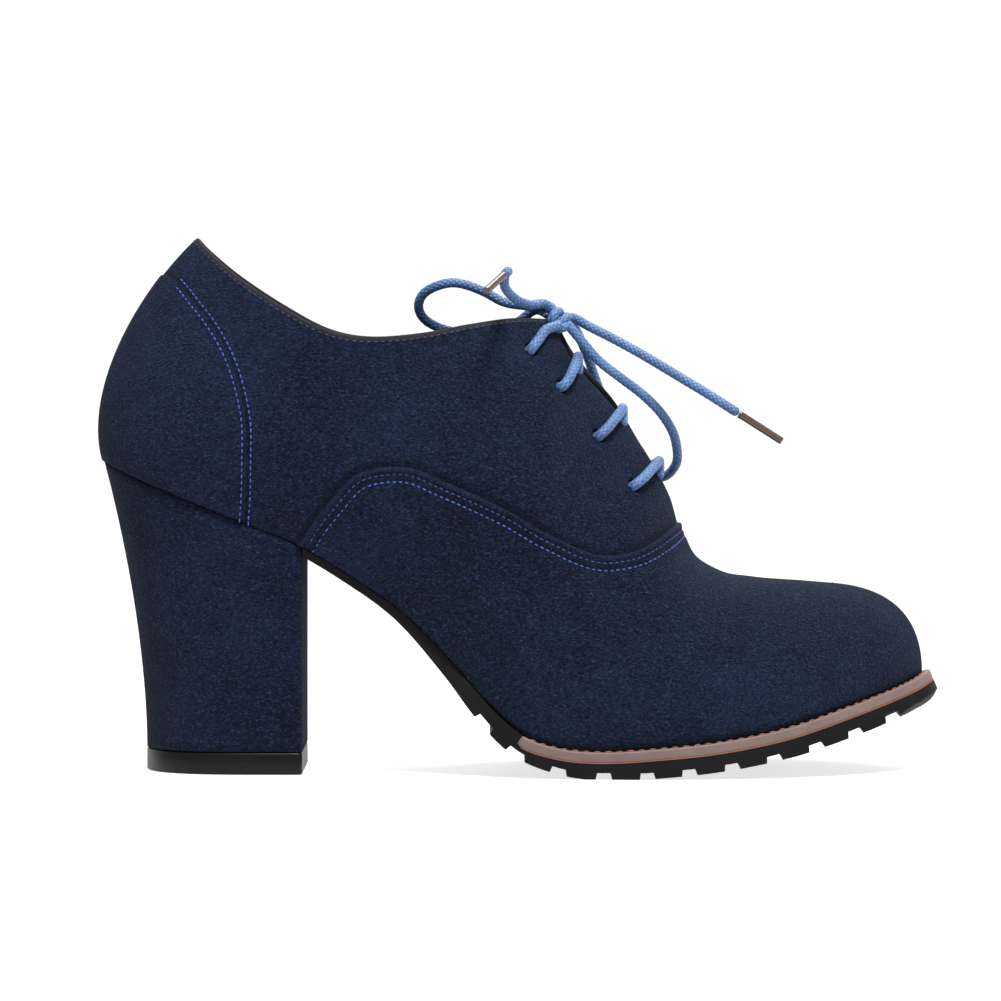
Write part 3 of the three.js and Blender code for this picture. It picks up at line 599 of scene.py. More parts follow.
def run_length(points: Array) -> float:
    """Gives the length of a line."""
    return float(np.linalg.norm(np.diff(np.asarray(points, float), axis=0), axis=1).sum())


def smoothstep(low: float, high: float, x: Array) -> Array:
    """Goes smoothly from 0 at low to 1 at high."""
    t = np.clip((x - low) / (high - low), 0, 1)
    return t * t * (3 - 2 * t)


# Meshes

FAR = 90.0  # what the map says where no seam is near


class Builder:
    """Gathers grids of points into one mesh."""

    def __init__(self, name: str) -> None:
        """Starts an empty mesh of that name.

        Args:
            name: its name.
        """
        self.name = name
        self.points: list[Array] = []
        self.faces: list[Array] = []
        self.slots: list[Array] = []
        self.uvs: list[Array] = []
        self.count = 0

    def grid(self, points: Array, rows: Rows = Rows.OPEN, columns: Rows = Rows.OPEN, slot: int = 0,
             flip: bool = False, uv: Optional[Array] = None) -> None:
        """Adds a grid of quads.

        Args:
            points: the grid, shape (rows, columns, 3), in millimetres.
            rows: whether the last row joins the first.
            columns: whether the last column joins the first.
            slot: the finish that its faces take.
            flip: turns its faces round.
            uv: a value pair for each corner, shape (rows, columns, 2), kept as the map "along".
        """
        n, m = points.shape[:2]
        i = np.arange(n if rows is Rows.RING else n - 1)
        j = np.arange(m if columns is Rows.RING else m - 1)
        ii, jj = np.meshgrid(i, j, indexing="ij")
        ni, nj = (ii + 1) % n, (jj + 1) % m
        quads = np.stack([ii * m + jj, ii * m + nj, ni * m + nj, ni * m + jj], -1).reshape(-1, 4)
        if flip:
            quads = quads[:, ::-1]
        self.points.append(points.reshape(-1, 3))
        self.faces.append(quads + self.count)
        self.slots.append(np.full(len(quads), slot))
        flat = np.full((n * m, 2), FAR) if uv is None else uv.reshape(-1, 2)
        self.uvs.append(flat)
        self.count += n * m

    def cap(self, ring: Array, slot: int = 0, flip: bool = False) -> None:
        """Closes a ring whose second half goes back beside its first, by a ladder of quads.

        Args:
            ring: the ring of points.
            slot: the finish that its faces take.
            flip: turns the faces round.
        """
        half = len(ring) // 2
        ladder = np.stack([ring[:half], ring[::-1][:half]], 1)
        self.grid(ladder, slot=slot, flip=flip)

    def fan(self, ring: Array, slot: int = 0, flip: bool = False) -> None:
        """Closes a small ring by a grid drawn in to its middle.

        Args:
            ring: the ring of points.
            slot: the finish that its faces take.
            flip: turns the faces round.
        """
        middle = ring.mean(0)
        rows = np.stack([middle + (ring - middle) * s for s in (1.0, 0.5, 0.0)])
        self.grid(rows, columns=Rows.RING, slot=slot, flip=flip)

    def make(self, merge: float = 1e-3, smooth: bool = True, closed: bool = True) -> bpy.types.Object:
        """Makes the object.

        Args:
            merge: corners closer than this are joined, in millimetres. 0 leaves them.
            smooth: shades its faces smoothly.
            closed: the mesh is a closed shell, so its faces can be turned outwards.

        Returns:
            The object, at the origin, in metres.
        """
        points = np.concatenate(self.points)
        faces = np.concatenate(self.faces)
        slots = np.concatenate(self.slots)
        uvs = np.concatenate(self.uvs)[faces]
        if merge:
            keys = np.round(points / merge).astype(np.int64)
            _, first, index = np.unique(keys, axis=0, return_index=True, return_inverse=True)
            points, faces = points[first], index.reshape(-1)[faces]
        kept, kept_slots, kept_uvs = [], [], []
        for corners, slot, uv in zip(faces.tolist(), slots.tolist(), uvs.tolist()):
            seen: dict[int, list[float]] = {}
            for corner, pair in zip(corners, uv):
                seen.setdefault(corner, pair)
            if len(seen) > 2:
                kept.append(tuple(seen))
                kept_slots.append(slot)
                kept_uvs.extend(seen.values())
        mesh = bpy.data.meshes.new(self.name)
        mesh.from_pydata((points * METRES).tolist(), [], kept)
        mesh.polygons.foreach_set("material_index", kept_slots)
        mesh.polygons.foreach_set("use_smooth", [smooth] * len(kept))
        layer = mesh.uv_layers.new(name="along")
        layer.data.foreach_set("uv", np.asarray(kept_uvs, np.float32).reshape(-1))
        if closed:
            shell = bmesh.new()
            shell.from_mesh(mesh)
            bmesh.ops.recalc_face_normals(shell, faces=shell.faces)
            shell.to_mesh(mesh)
            shell.free()
        mesh.update()
        made = bpy.data.objects.new(self.name, mesh)
        bpy.context.scene.collection.objects.link(made)
        return made


def dress(piece: bpy.types.Object, finishes: Sequence[bpy.types.Material],
          stands_for: Sequence[str] = ()) -> bpy.types.Object:
    """Gives a piece its finishes, its body and the nodes that it stands for.

    Args:
        piece: the piece.
        finishes: its finishes, in the order of its slots.
        stands_for: the nodes that it replaces.

    Returns:
        The piece.
    """
    chosen = np.empty(len(piece.data.polygons), np.int32)
    piece.data.polygons.foreach_get("material_index", chosen)
    piece.data.materials.clear()
    for finish in finishes:
        piece.data.materials.append(finish)
    piece.data.polygons.foreach_set("material_index", chosen)
    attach(piece, "root")
    if stands_for:
        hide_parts(*stands_for)
    log.info("%s: %d faces", piece.name, len(piece.data.polygons))
    return piece


# Finishes

Value = Union[float, "Link"]


class Link:
    """A number socket that can stand in a Python expression."""

    def __init__(self, shader: "Shader", socket: bpy.types.NodeSocket) -> None:
        """Keeps the socket and the shader that it belongs to."""
        self.shader = shader
        self.socket = socket

    def _join(self, operation: str, *others: Value) -> "Link":
        """Adds one Math node to the shader."""
        inputs = dict(enumerate((self, *others)))
        return self.shader.node("ShaderNodeMath", {"operation": operation}, inputs)

    def _joined_after(self, operation: str, other: Value) -> "Link":
        """Adds one Math node with this value second."""
        return self.shader.node("ShaderNodeMath", {"operation": operation}, {0: other, 1: self})

    def __add__(self, other: Value) -> "Link":
        """Adds."""
        return self._join("ADD", other)

    def __radd__(self, other: Value) -> "Link":
        """Adds."""
        return self._join("ADD", other)

    def __sub__(self, other: Value) -> "Link":
        """Subtracts."""
        return self._join("SUBTRACT", other)

    def __rsub__(self, other: Value) -> "Link":
        """Subtracts this from a number."""
        return self._joined_after("SUBTRACT", other)

    def __mul__(self, other: Value) -> "Link":
        """Multiplies."""
        return self._join("MULTIPLY", other)

    def __rmul__(self, other: Value) -> "Link":
        """Multiplies."""
        return self._join("MULTIPLY", other)

    def __truediv__(self, other: Value) -> "Link":
        """Divides."""
        return self._join("DIVIDE", other)

    def __pow__(self, other: Value) -> "Link":
        """Raises to a power."""
        return self._join("POWER", other)

    def sine(self) -> "Link":
        """Takes the sine."""
        return self._join("SINE")

    def size(self) -> "Link":
        """Drops the sign."""
        return self._join("ABSOLUTE")

    def at_most(self, other: Value) -> "Link":
        """Takes the smaller."""
        return self._join("MINIMUM", other)

    def at_least(self, other: Value) -> "Link":
        """Takes the larger."""
        return self._join("MAXIMUM", other)

    def between(self, low: float, high: float) -> "Link":
        """Spreads low to high over 0 to 1, and holds it there."""
        return ((self - low) / (high - low)).at_most(1.0).at_least(0.0)


class Shader:
    """A material with a principled surface, built node by node."""

    def __init__(self, name: str, **settings: object) -> None:
        """Makes the material and sets the surface's plain sockets.

        Args:
            name: its name.
            settings: values of its plain sockets, by name.
        """
        self.material = bpy.data.materials.new(name)
        self.material.use_nodes = True
        self.tree = self.material.node_tree
        self.surface = self.tree.nodes["Principled BSDF"]
        for socket, value in settings.items():
            self.surface.inputs[socket.replace("_", " ")].default_value = value

    def node(self, kind: str, settings: Optional[dict] = None, inputs: Optional[dict] = None,
             output: Union[int, str] = 0) -> Link:
        """Adds a node.

        Args:
            kind: the node's type.
            settings: its own settings, set before its sockets.
            inputs: values or links for its sockets, by name or number.
            output: which of its outputs to give back.

        Returns:
            That output.
        """
        made = self.tree.nodes.new(kind)
        for key, value in (settings or {}).items():
            setattr(made, key, value)
        for key, value in (inputs or {}).items():
            socket = made.inputs[key]
            if isinstance(value, Link):
                self.tree.links.new(value.socket, socket)
            elif value is not None:
                socket.default_value = value
        return Link(self, made.outputs[output])

    def place(self, scale: Sequence[float] = (1, 1, 1), turn: Sequence[float] = (0, 0, 0)) -> Link:
        """Gives the place on the object, scaled and turned."""
        where = self.node("ShaderNodeTexCoord", output="Object")
        return self.node("ShaderNodeMapping", {}, {"Vector": where, "Scale": scale, "Rotation": turn})

    def along(self) -> tuple[Link, Link]:
        """Gives the two values of the map that runs along the piece.

        Returns:
            The first value and the second.
        """
        pair = self.node("ShaderNodeUVMap", {"uv_map": "along"})
        parts = self.node("ShaderNodeSeparateXYZ", {}, {0: pair})
        return parts, Link(self, parts.socket.node.outputs[1])

    def noise(self, where: Link, scale: float, detail: float = 2.0, roughness: float = 0.5,
              distortion: float = 0.0) -> Link:
        """Gives smooth noise from 0 to 1.

        Args:
            where: the coordinates that it is read at.
            scale: how many grains to the metre.
            detail: how many finer layers it has.
            roughness: how strong the finer layers are.
            distortion: how far it is swirled.

        Returns:
            The noise, 0 to 1.
        """
        inputs = {"Vector": where, "Scale": scale, "Detail": detail, "Roughness": roughness,
                  "Distortion": distortion}
        return self.node("ShaderNodeTexNoise", {"noise_dimensions": "3D"}, inputs)

    def blend(self, amount: Link, low: Union["Color", Link], high: Union["Color", Link]) -> Link:
        """Mixes two colours by an amount.

        Args:
            amount: how much of the second.
            low: the first colour.
            high: the second colour.

        Returns:
            The mixed colour.
        """
        ends = [value if isinstance(value, Link) else (*value, 1) for value in (low, high)]
        settings = {"data_type": "RGBA", "blend_type": "MIX"}
        return self.node("ShaderNodeMix", settings, {0: amount, 6: ends[0], 7: ends[1]}, output=2)

    def set(self, socket: str, value: Link) -> None:
        """Feeds one of the surface's sockets."""
        self.tree.links.new(value.socket, self.surface.inputs[socket])

    def bump(self, height: Link, strength: float, distance: float) -> None:
        """Feeds the surface's normal from a height."""
        inputs = {"Height": height, "Strength": strength, "Distance": distance}
        self.set("Normal", self.node("ShaderNodeBump", {}, inputs))


Color = tuple[float, float, float]
Marks = tuple[tuple[float, float, float], ...]


@dataclass(frozen=True)
class Suede:
    """Napped suede: fine short fibres, lightly mottled by the way they lie.

    It carries painted shade along the stitches and just outside each lapped edge, and a painted highlight on
    the raised raw edges. The map "along" gives how far inside the vamp's seam and inside the counter's seam
    a place lies.
    """

    name: str = "navy_suede"
    deep: Color = (0.0016, 0.0036, 0.0110)
    light: Color = (0.0125, 0.0260, 0.0700)
    bloom: Color = (0.070, 0.112, 0.215)
    sheen: float = 0.05
    fibre_scale: float = 1900
    grain_scale: float = 1450
    cloud_scale: float = 130
    broad_scale: float = 20
    relief: float = 0.0019
    # Painted shade: darker bands at the stitch rows and just outside each lapped edge, as place, reach and
    # weight.
    vamp_painted_shade: Marks = ((-0.9, 1.5, 0.34), (3.2, 2.2, 0.20))
    counter_painted_shade: Marks = ((-0.5, 1.0, 0.20), (0.0, 2.4, 0.14))
    # Painted highlight: lighter bands on the raised raw edges, as place, reach and weight.
    vamp_painted_highlight: Marks = ((0.7, 0.9, 0.26),)
    counter_painted_highlight: Marks = ((0.3, 0.6, 0.12),)

    @staticmethod
    def near(depth: Link, marks: Marks) -> Link:
        """Adds up marks along a seam.

        Args:
            depth: how far inside the seam a place lies, in millimetres.
            marks: for each, its place, how far it reaches to both sides, and its weight.

        Returns:
            Each mark's weight at its place, falling to 0 at its reach.
        """
        parts = [(1.0 - (depth - place).size() / reach).at_least(0.0) * weight
                 for place, reach, weight in marks]
        made = parts[0]
        for part in parts[1:]:
            made = made + part
        return made

    def make(self) -> bpy.types.Material:
        """Builds the material.

        Returns:
            The material.
        """
        s = Shader(self.name, Roughness=0.92, Sheen_Weight=self.sheen, Sheen_Roughness=0.4,
                   Sheen_Tint=(0.48, 0.55, 0.70, 1), Specular_IOR_Level=0.10)
        vamp, counter = s.along()
        fibre = s.noise(s.place((0.55, 1, 1.25), (0.0, -0.65, 0.0)), self.fibre_scale, 3, 0.65)
        grain = s.noise(s.place((0.8, 1, 1.1), (0.0, 0.5, 0.0)), self.grain_scale, 4, 0.65, 0.6)
        cloud = s.noise(s.place(), self.cloud_scale, 3, 0.6)
        broad = s.noise(s.place(), self.broad_scale, 2, 0.5)
        # Painted shade along the stitch rows and beside the lapped edges.
        painted_shade = self.near(vamp, self.vamp_painted_shade) + self.near(counter, self.counter_painted_shade)
        # Painted highlight on the raised raw edges.
        painted_highlight = self.near(vamp, self.vamp_painted_highlight) + self.near(counter, self.counter_painted_highlight)
        tone = (fibre - 0.5) * 2.0 + (grain - 0.5) * 2.7 + (cloud - 0.5) * 0.6 + (broad - 0.5) * 0.9 + 0.40
        base = s.blend((tone - painted_shade + painted_highlight).between(0.0, 1.0), self.deep, self.light)
        fleck = (fibre * 0.6 + grain * 0.4 - painted_shade * 0.3).between(0.55, 0.70) * 0.5
        s.set("Base Color", s.blend(fleck, base, self.bloom))
        s.bump(fibre * 0.6 + grain * 1.0 + cloud * 0.4, 1.0, self.relief)
        return s.material


@dataclass(frozen=True)
class Smooth:
    """A plain finish with a little unevenness, such as lining, rubber, plastic or thread."""

    name: str
    color: Color
    light: Color
    roughness: float = 0.6
    coat: float = 0.0
    grain: float = 400.0
    relief: float = 0.15
    gloss: float = 0.5

    def make(self) -> bpy.types.Material:
        """Builds the material.

        Returns:
            The material.
        """
        s = Shader(self.name, Coat_Weight=self.coat, Coat_Roughness=0.25, Specular_IOR_Level=self.gloss)
        fine = s.noise(s.place(), self.grain, 3, 0.6)
        broad = s.noise(s.place(), self.grain / 12, 2, 0.5)
        s.set("Base Color", s.blend((fine * 0.5 + broad * 0.5).between(0.3, 0.7), self.color, self.light))
        s.set("Roughness", (broad - 0.5) * 0.25 + self.roughness)
        s.bump(fine, self.relief, 0.0003)
        return s.material


@dataclass(frozen=True)
class Braid:
    """Round waxed braid: strands that wind both ways and pass over each other."""

    name: str = "lace_braid"
    deep: Color = (0.018, 0.056, 0.160)
    light: Color = (0.100, 0.225, 0.480)

    def make(self) -> bpy.types.Material:
        """Builds the material.

        Returns:
            The material.
        """
        s = Shader(self.name, Roughness=0.5, Coat_Weight=0.18, Coat_Roughness=0.4, Sheen_Weight=0.2,
                   Sheen_Roughness=0.5, Sheen_Tint=(0.5, 0.7, 1, 1))
        round_way, length_way = s.along()
        one = ((round_way + length_way) * math.pi).sine()
        two = ((round_way - length_way) * math.pi).sine()
        ridge = (one * two).size() ** 0.6
        thread = s.noise(s.place((1, 1, 1)), 2600, 2, 0.6)
        broad = s.noise(s.place(), 120, 2, 0.5)
        # The ridge lightens the colour on the strands' crowns and darkens it between them: painted highlight
        # and painted shade. It also feeds the bump.
        tone = ridge * 0.5 + (thread - 0.5) * 1.1 + (broad - 0.5) * 0.9 + 0.15
        s.set("Base Color", s.blend(tone.between(0.05, 0.95), self.deep, self.light))
        s.bump(ridge + thread * 0.3, 0.5, 0.0005)
        return s.material


def finish(made: Union[Suede, Smooth, Braid]) -> bpy.types.Material:
    """Makes a field of the palette, built when the palette is."""
    return field(default_factory=made.make)


@dataclass
class Palette:
    """Every finish of the shoe."""

    suede: bpy.types.Material = finish(Suede())
    edge: bpy.types.Material = finish(Smooth(
        "raw_edge", (0.007, 0.0075, 0.010), (0.021, 0.022, 0.027), 0.85, grain=900, relief=0.5, gloss=0.2))
    lining: bpy.types.Material = finish(Smooth("lining", (0.018, 0.016, 0.017), (0.032, 0.029, 0.030), 0.7))
    welt: bpy.types.Material = finish(Smooth(
        "welt_taupe", (0.140, 0.096, 0.086), (0.185, 0.130, 0.118), 0.55, grain=300, gloss=0.3))
    rubber: bpy.types.Material = finish(Smooth(
        "outsole_rubber", (0.0030, 0.0030, 0.0034), (0.0070, 0.0070, 0.0076), 0.6, grain=600, relief=0.3,
        gloss=0.14))
    lift: bpy.types.Material = finish(Smooth(
        "lift_rubber", (0.0030, 0.0030, 0.0030), (0.0060, 0.0060, 0.0060), 0.4, grain=500, gloss=0.2))
    lace: bpy.types.Material = finish(Braid())
    blue_thread: bpy.types.Material = finish(Smooth(
        "blue_thread", (0.020, 0.058, 0.290), (0.055, 0.140, 0.540), 0.55, grain=3000))
    # A darker copy of the blue thread, for the vamp's first row: painted shade.
    painted_shade_thread: bpy.types.Material = finish(Smooth(
        "painted_shade_thread", (0.012, 0.022, 0.095), (0.030, 0.062, 0.280), 0.6, grain=1200))
    collar_thread: bpy.types.Material = finish(Smooth(
        "collar_thread", (0.016, 0.022, 0.040), (0.052, 0.064, 0.100), 0.6, grain=3000))
    orange_thread: bpy.types.Material = finish(Smooth(
        "orange_thread", (0.210, 0.062, 0.022), (0.350, 0.120, 0.045), 0.6, grain=3000))
    aglet: bpy.types.Material = finish(Smooth(
        "aglet_brown", (0.040, 0.020, 0.012), (0.075, 0.040, 0.024), 0.25, 0.6, 700))


# The upper

# Soft troughs where the foot bends the suede: middle, reach along each axis, depth.
CREASES = (
    ((52.0, 0.0, 62.0), (9.0, 30.0, 3.4), 0.5), ((60.0, 4.0, 57.0), (4.0, 26.0, 9.0), 0.35),
    ((-44.0, -26.0, 92.0), (14.0, 9.0, 4.0), 0.35), ((-96.0, -20.0, 104.0), (10.0, 9.0, 3.5), 0.3),
    ((4.0, -34.0, 66.0), (13.0, 9.0, 5.5), 0.35),
)


@dataclass
class Upper:
    """The quarters, the vamp and the counter, with their seams and eyelets."""

    palette: Palette
    per_rib: float = 9.0
    levels: int = 44
    roll: float = 0.75

    def __post_init__(self) -> None:
        """Draws the seams."""
        self.vamp_seam = Seam(VAMP_SEAM, 1)
        self.counter_seam = Seam(COUNTER_SEAM, -1, (20.0, 30.0))

    def crease(self, points: Array, normals: Array) -> Array:
        """Presses soft troughs into the face where the foot bends it.

        Args:
            points: the points.
            normals: the outward directions there.

        Returns:
            The pressed points.
        """
        made = points.copy()
        for middle, reach, depth in CREASES:
            away = (points - np.array(middle)) / np.array(reach)
            made -= normals * (depth * np.exp(-np.sum(away ** 2, -1)))[..., None]
        return made

    def skin(self, side: Side, ribs: Array, heights: Array, offset: Union[float, Array]) -> Array:
        """Gives the upper's face with its creases."""
        points = LAST.face(side, ribs, heights, offset)
        return self.crease(points, LAST.normal(side, ribs, heights))

    def top(self, side: Side, ribs: Array) -> Array:
        """Gives the height of the wall's edge. The inner facing stands a little over the outer one.

        Args:
            side: which side of the shoe.
            ribs: places along the ribs.

        Returns:
            The heights, as shares of the ribs.
        """
        if side is Side.OUTER:
            return np.ones_like(ribs)
        return 1.0 + FACING_RISE * smoothstep(9.0, 9.6, ribs) * (1 - smoothstep(11.0, 12.0, ribs))

    def depths(self, side: Side, ribs: Array, heights: Array) -> Array:
        """Gives how far inside the vamp's and the counter's seams places of the face lie."""
        points = LAST.point(side, ribs, heights)
        return np.stack([self.vamp_seam.depth(points), self.counter_seam.depth(points)], -1)

    def quarters(self) -> bpy.types.Object:
        """Builds the whole wall, outside, lining and rolled edge, and punches its eyelets.

        Returns:
            The piece.
        """
        made = Builder("upper_quarters")
        shares = np.append(np.linspace(0, 1 - STRIP, self.levels), 1.0)
        ribs = rib_places(0, LAST_RIB, self.per_rib)
        open_ribs = ribs[ribs <= THROAT_END_RIB + 1e-6]
        strip_ribs = ribs[ribs <= THROAT_TOP_RIB + 1e-6]
        rest_ribs = ribs[ribs >= THROAT_TOP_RIB - 1e-6]
        bend = np.linspace(0, math.pi, 9)
        for side in Side:
            out = side is Side.OUTER

            def sheet(places: Array, levels: Array, offset: float, slot: int, flip: bool) -> None:
                """Adds a sheet of the wall.

                Args:
                    places: places along the ribs.
                    levels: heights, as shares of the ribs.
                    offset: how far out from the face.
                    slot: the finish that its faces take.
                    flip: turns the faces round.
                """
                r, h = np.meshgrid(places, levels, indexing="ij")
                h = h * self.top(side, places)[:, None]
                made.grid(self.skin(side, r, h, offset), slot=slot, flip=flip, uv=self.depths(side, r, h))

            sheet(ribs, shares[:-1], 0.0, 0, out)
            sheet(strip_ribs, shares[-2:], 0.0, 2, out)
            sheet(rest_ribs, shares[-2:], 0.0, 0, out)
            sheet(ribs, shares, -UPPER_WALL, 1, not out)
            crown = self.top(side, open_ribs)
            top = self.skin(side, open_ribs, crown, 0.0)
            low = self.skin(side, open_ribs, crown, -UPPER_WALL)
            rise = unit(LAST.point(side, open_ribs, np.ones_like(open_ribs))
                        - LAST.point(side, open_ribs, np.full_like(open_ribs, 0.985)))
            swell = self.roll * smoothstep(THROAT_END_RIB, THROAT_END_RIB - 1.5, open_ribs)
            middle, half = (top + low) / 2, (top - low) / 2
            rows = np.stack([middle + half * math.cos(a) + rise * (swell * math.sin(a))[:, None]
                             for a in bend], 1)
            made.grid(rows, slot=2, flip=out)
            foot = np.zeros_like(ribs)
            rim = [self.skin(side, ribs, foot, offset) for offset in (-UPPER_WALL, 0.0)]
            made.grid(np.stack(rim, 1), slot=2, flip=out)
        piece = made.make()
        finishes = (self.palette.suede, self.palette.lining, self.palette.edge)
        for finish in finishes:
            piece.data.materials.append(finish)
        self._punch(piece)
        return dress(piece, finishes, ("upper",))

    def _punch(self, piece: bpy.types.Object) -> None:
        """Cuts the eyelets through the facings.

        Args:
            piece: the piece.
        """
        drills = Builder("drills")
        turn = np.linspace(0, 2 * math.pi, 24, endpoint=False)
        for side in Side:
            for rib, height, _ in EYELETS:
                spot = LAST.point(side, np.array(rib), np.array(height))
                axis = LAST.normal(side, np.array(rib), np.array(height))
                right = unit(np.cross(axis, (0, 0, 1)))
                up = np.cross(axis, right)
                ring = right * np.cos(turn)[:, None] + up * np.sin(turn)[:, None]
                ring = ring * (EYELET_DIAMETER / 2 + EYELET_EASE)
                rings = np.stack([spot + ring - axis * DRILL_REACH, spot + ring + axis * DRILL_REACH])
                drills.grid(rings, columns=Rows.RING, slot=2)
                drills.fan(rings[0], flip=True)
                drills.fan(rings[1])
        tool = drills.make()
        cut = piece.modifiers.new("eyelets", "BOOLEAN")
        cut.operation, cut.solver, cut.object = "DIFFERENCE", "EXACT", tool
        bake(piece)
        bpy.data.objects.remove(tool)

    @staticmethod
    def lap(depth: Array, thick: float, rows: Sequence[float]) -> Array:
        """Gives how far a lapped piece stands out: a rounded raw edge, a lip and the stitches' channels.

        Args:
            depth: how far inside the seam.
            thick: its thickness.
            rows: the rows of stitches on it.

        Returns:
            The offset from the face.
        """
        t = np.clip(depth / EDGE_ROLL, 0, 1)
        made = -EDGE_TUCK + (thick + EDGE_TUCK) * np.sqrt(np.clip(1 - (1 - t) ** 2, 0, 1))
        made = made + LIP * np.exp(-((depth - LIP_PLACE) / LIP_REACH) ** 2) * (len(rows) > 0)
        for row in rows:
            made = made - CHANNEL * np.exp(-((depth - row) / CHANNEL_REACH) ** 2)
        return made

    def vamp(self) -> bpy.types.Object:
        """Builds the vamp, which laps over the quarters along its seam.

        Returns:
            The piece.
        """
        made = Builder("vamp")
        count = 64
        v = 1 - (1 - np.linspace(0, 1, count)) ** 2
        for side in Side:
            ribs = rib_places(4.0, LAST_RIB, self.per_rib * 1.2)
            edge = self._edge(side, ribs)
            keep = edge > 0.0
            keep[:-1] |= edge[1:] > 0
            ribs, edge = ribs[keep], edge[keep]
            r, h = np.broadcast_arrays(ribs[:, None], edge[:, None] * v[None, :])
            depth = self.vamp_seam.depth(LAST.point(side, r, h))
            offset = self.lap(depth, VAMP_LAP, STITCH_ROWS)
            made.grid(self.skin(side, r, h, offset), flip=side is Side.OUTER, uv=self.depths(side, r, h))
        return dress(self._thicken(made.make(closed=False)), (self.palette.suede,))

    def _edge(self, side: Side, ribs: Array, inset: float = 0.0) -> Array:
        """Finds the height on each rib where the vamp's seam, or a line inside it, crosses it.

        Args:
            side: which side of the shoe.
            ribs: places along the ribs.
            inset: how far inside the seam the line runs.

        Returns:
            The heights, one for each rib.
        """
        heights = np.linspace(0, 1, 161)
        r, h = np.meshgrid(ribs, heights, indexing="ij")
        depth = self.vamp_seam.depth(LAST.point(side, r, h)) - inset
        found = np.ones(len(ribs))
        for k, row in enumerate(depth):
            out = np.nonzero(row <= 0)[0]
            if len(out) and out[0] == 0:
                found[k] = 0.0
            elif len(out):
                i = out[0]
                part = row[i - 1] / (row[i - 1] - row[i])
                found[k] = heights[i - 1] + (heights[i] - heights[i - 1]) * part
        return found

    def _rib_edge(self, side: Side, heights: Array, inset: float = 0.0) -> Array:
        """Finds the rib on each level where the counter's seam, or a line beside it, crosses it.

        Args:
            side: which side of the shoe.
            heights: heights on the ribs.
            inset: how far inside the seam the line runs.

        Returns:
            The ribs, one for each level.
        """
        ribs = np.linspace(0, 5.5, 221)
        h, r = np.meshgrid(heights, ribs, indexing="ij")
        depth = self.counter_seam.depth(LAST.point(side, r, h)) - inset
        found = np.zeros(len(heights))
        for k, row in enumerate(depth):
            inside = np.nonzero(row > 0)[0]
            if len(inside) and inside[-1] + 1 < len(ribs):
                i = inside[-1]
                found[k] = ribs[i] + (ribs[i + 1] - ribs[i]) * row[i] / (row[i] - row[i + 1])
        return found

    def counter(self) -> bpy.types.Object:
        """Builds the counter, which laps over the quarters round the heel.

        Returns:
            The piece.
        """
        made = Builder("counter")
        levels = np.linspace(0, 0.97, 80)
        share = 1 - (1 - np.linspace(0, 1, 40)) ** 2
        for side in Side:
            edge = self._rib_edge(side, levels)
            keep = edge > 0
            h, r = np.broadcast_arrays(levels[keep][:, None], edge[keep][:, None] * share[None, :])
            depth = self.counter_seam.depth(LAST.point(side, r, h))
            offset = self.lap(depth, COUNTER_LAP, ())
            made.grid(self.skin(side, r, h, offset), flip=side is Side.INNER, uv=self.depths(side, r, h))
        return dress(self._thicken(made.make(closed=False)), (self.palette.suede,))

    @staticmethod
    def _thicken(sheet: bpy.types.Object) -> bpy.types.Object:
        """Closes a lapped sheet with a thin wall that lies hidden in the quarters.

        Args:
            sheet: the open sheet.

        Returns:
            The closed piece.
        """
        wall = sheet.modifiers.new("wall", "SOLIDIFY")
        wall.thickness, wall.offset, wall.use_rim = LAP_BACKING * METRES, -1.0, True
        bake(sheet)
        return sheet

    def stitch_line(self, inset: float) -> Array:
        """Gives a row of stitches on the vamp, round both sides.

        Args:
            inset: how far inside the seam the line runs.

        Returns:
            Points with their outward directions, shape (n, 6).
        """
        runs = []
        for side in Side:
            ribs = rib_places(4.2, 15.2, 24)
            height = self._edge(side, ribs, inset)
            keep = (height > 0.004) & (height < 0.9995)
            r, h = ribs[keep], height[keep]
            depth = self.vamp_seam.depth(LAST.point(side, r, h))
            offset = self.lap(depth, VAMP_LAP, STITCH_ROWS)
            runs.append(np.concatenate([self.skin(side, r, h, offset), LAST.normal(side, r, h)], -1))
        return np.concatenate([runs[0], runs[1][::-1]])

    def counter_line(self, side: Side, inset: float) -> Array:
        """Gives a row of stitches beside the counter's seam.

        Args:
            side: which side of the shoe.
            inset: how far inside the seam the line runs.

        Returns:
            Points with their outward directions, shape (n, 6).
        """
        heights = np.linspace(0.004, 0.98, 160)
        ribs = self._rib_edge(side, heights, inset)
        keep = ribs > 0.02
        r, h = ribs[keep], heights[keep]
        depth = self.counter_seam.depth(LAST.point(side, r, h))
        offset = np.where(depth > 0, self.lap(depth, COUNTER_LAP, ()), 0.0) + 0.02
        return np.concatenate([self.skin(side, r, h, offset), LAST.normal(side, r, h)], -1)

    def collar_line(self, below: float) -> Array:
        """Gives the row of stitches under the collar's edge, round the back.

        Args:
            below: how far under the edge it runs.

        Returns:
            Points with their outward directions, shape (n, 6).
        """
        runs = []
        for side in Side:
            ribs = rib_places(0, THROAT_TOP_RIB - 0.15, 24)
            top = LAST.point(side, ribs, np.ones_like(ribs))
            near = LAST.point(side, ribs, np.full_like(ribs, 0.97))
            height = 1 - 0.03 * below / np.linalg.norm(top - near, axis=-1)
            out = LAST.normal(side, ribs, height)
            runs.append(np.concatenate([self.skin(side, ribs, height, 0.03), out], -1))
        return np.concatenate([runs[0][::-1], runs[1][1:]])

    def build(self) -> None:
        """Builds the upper and its stitches."""
        self.quarters()
        self.vamp()
        self.counter()
        blue, painted_shade_blue = self.palette.blue_thread, self.palette.painted_shade_thread
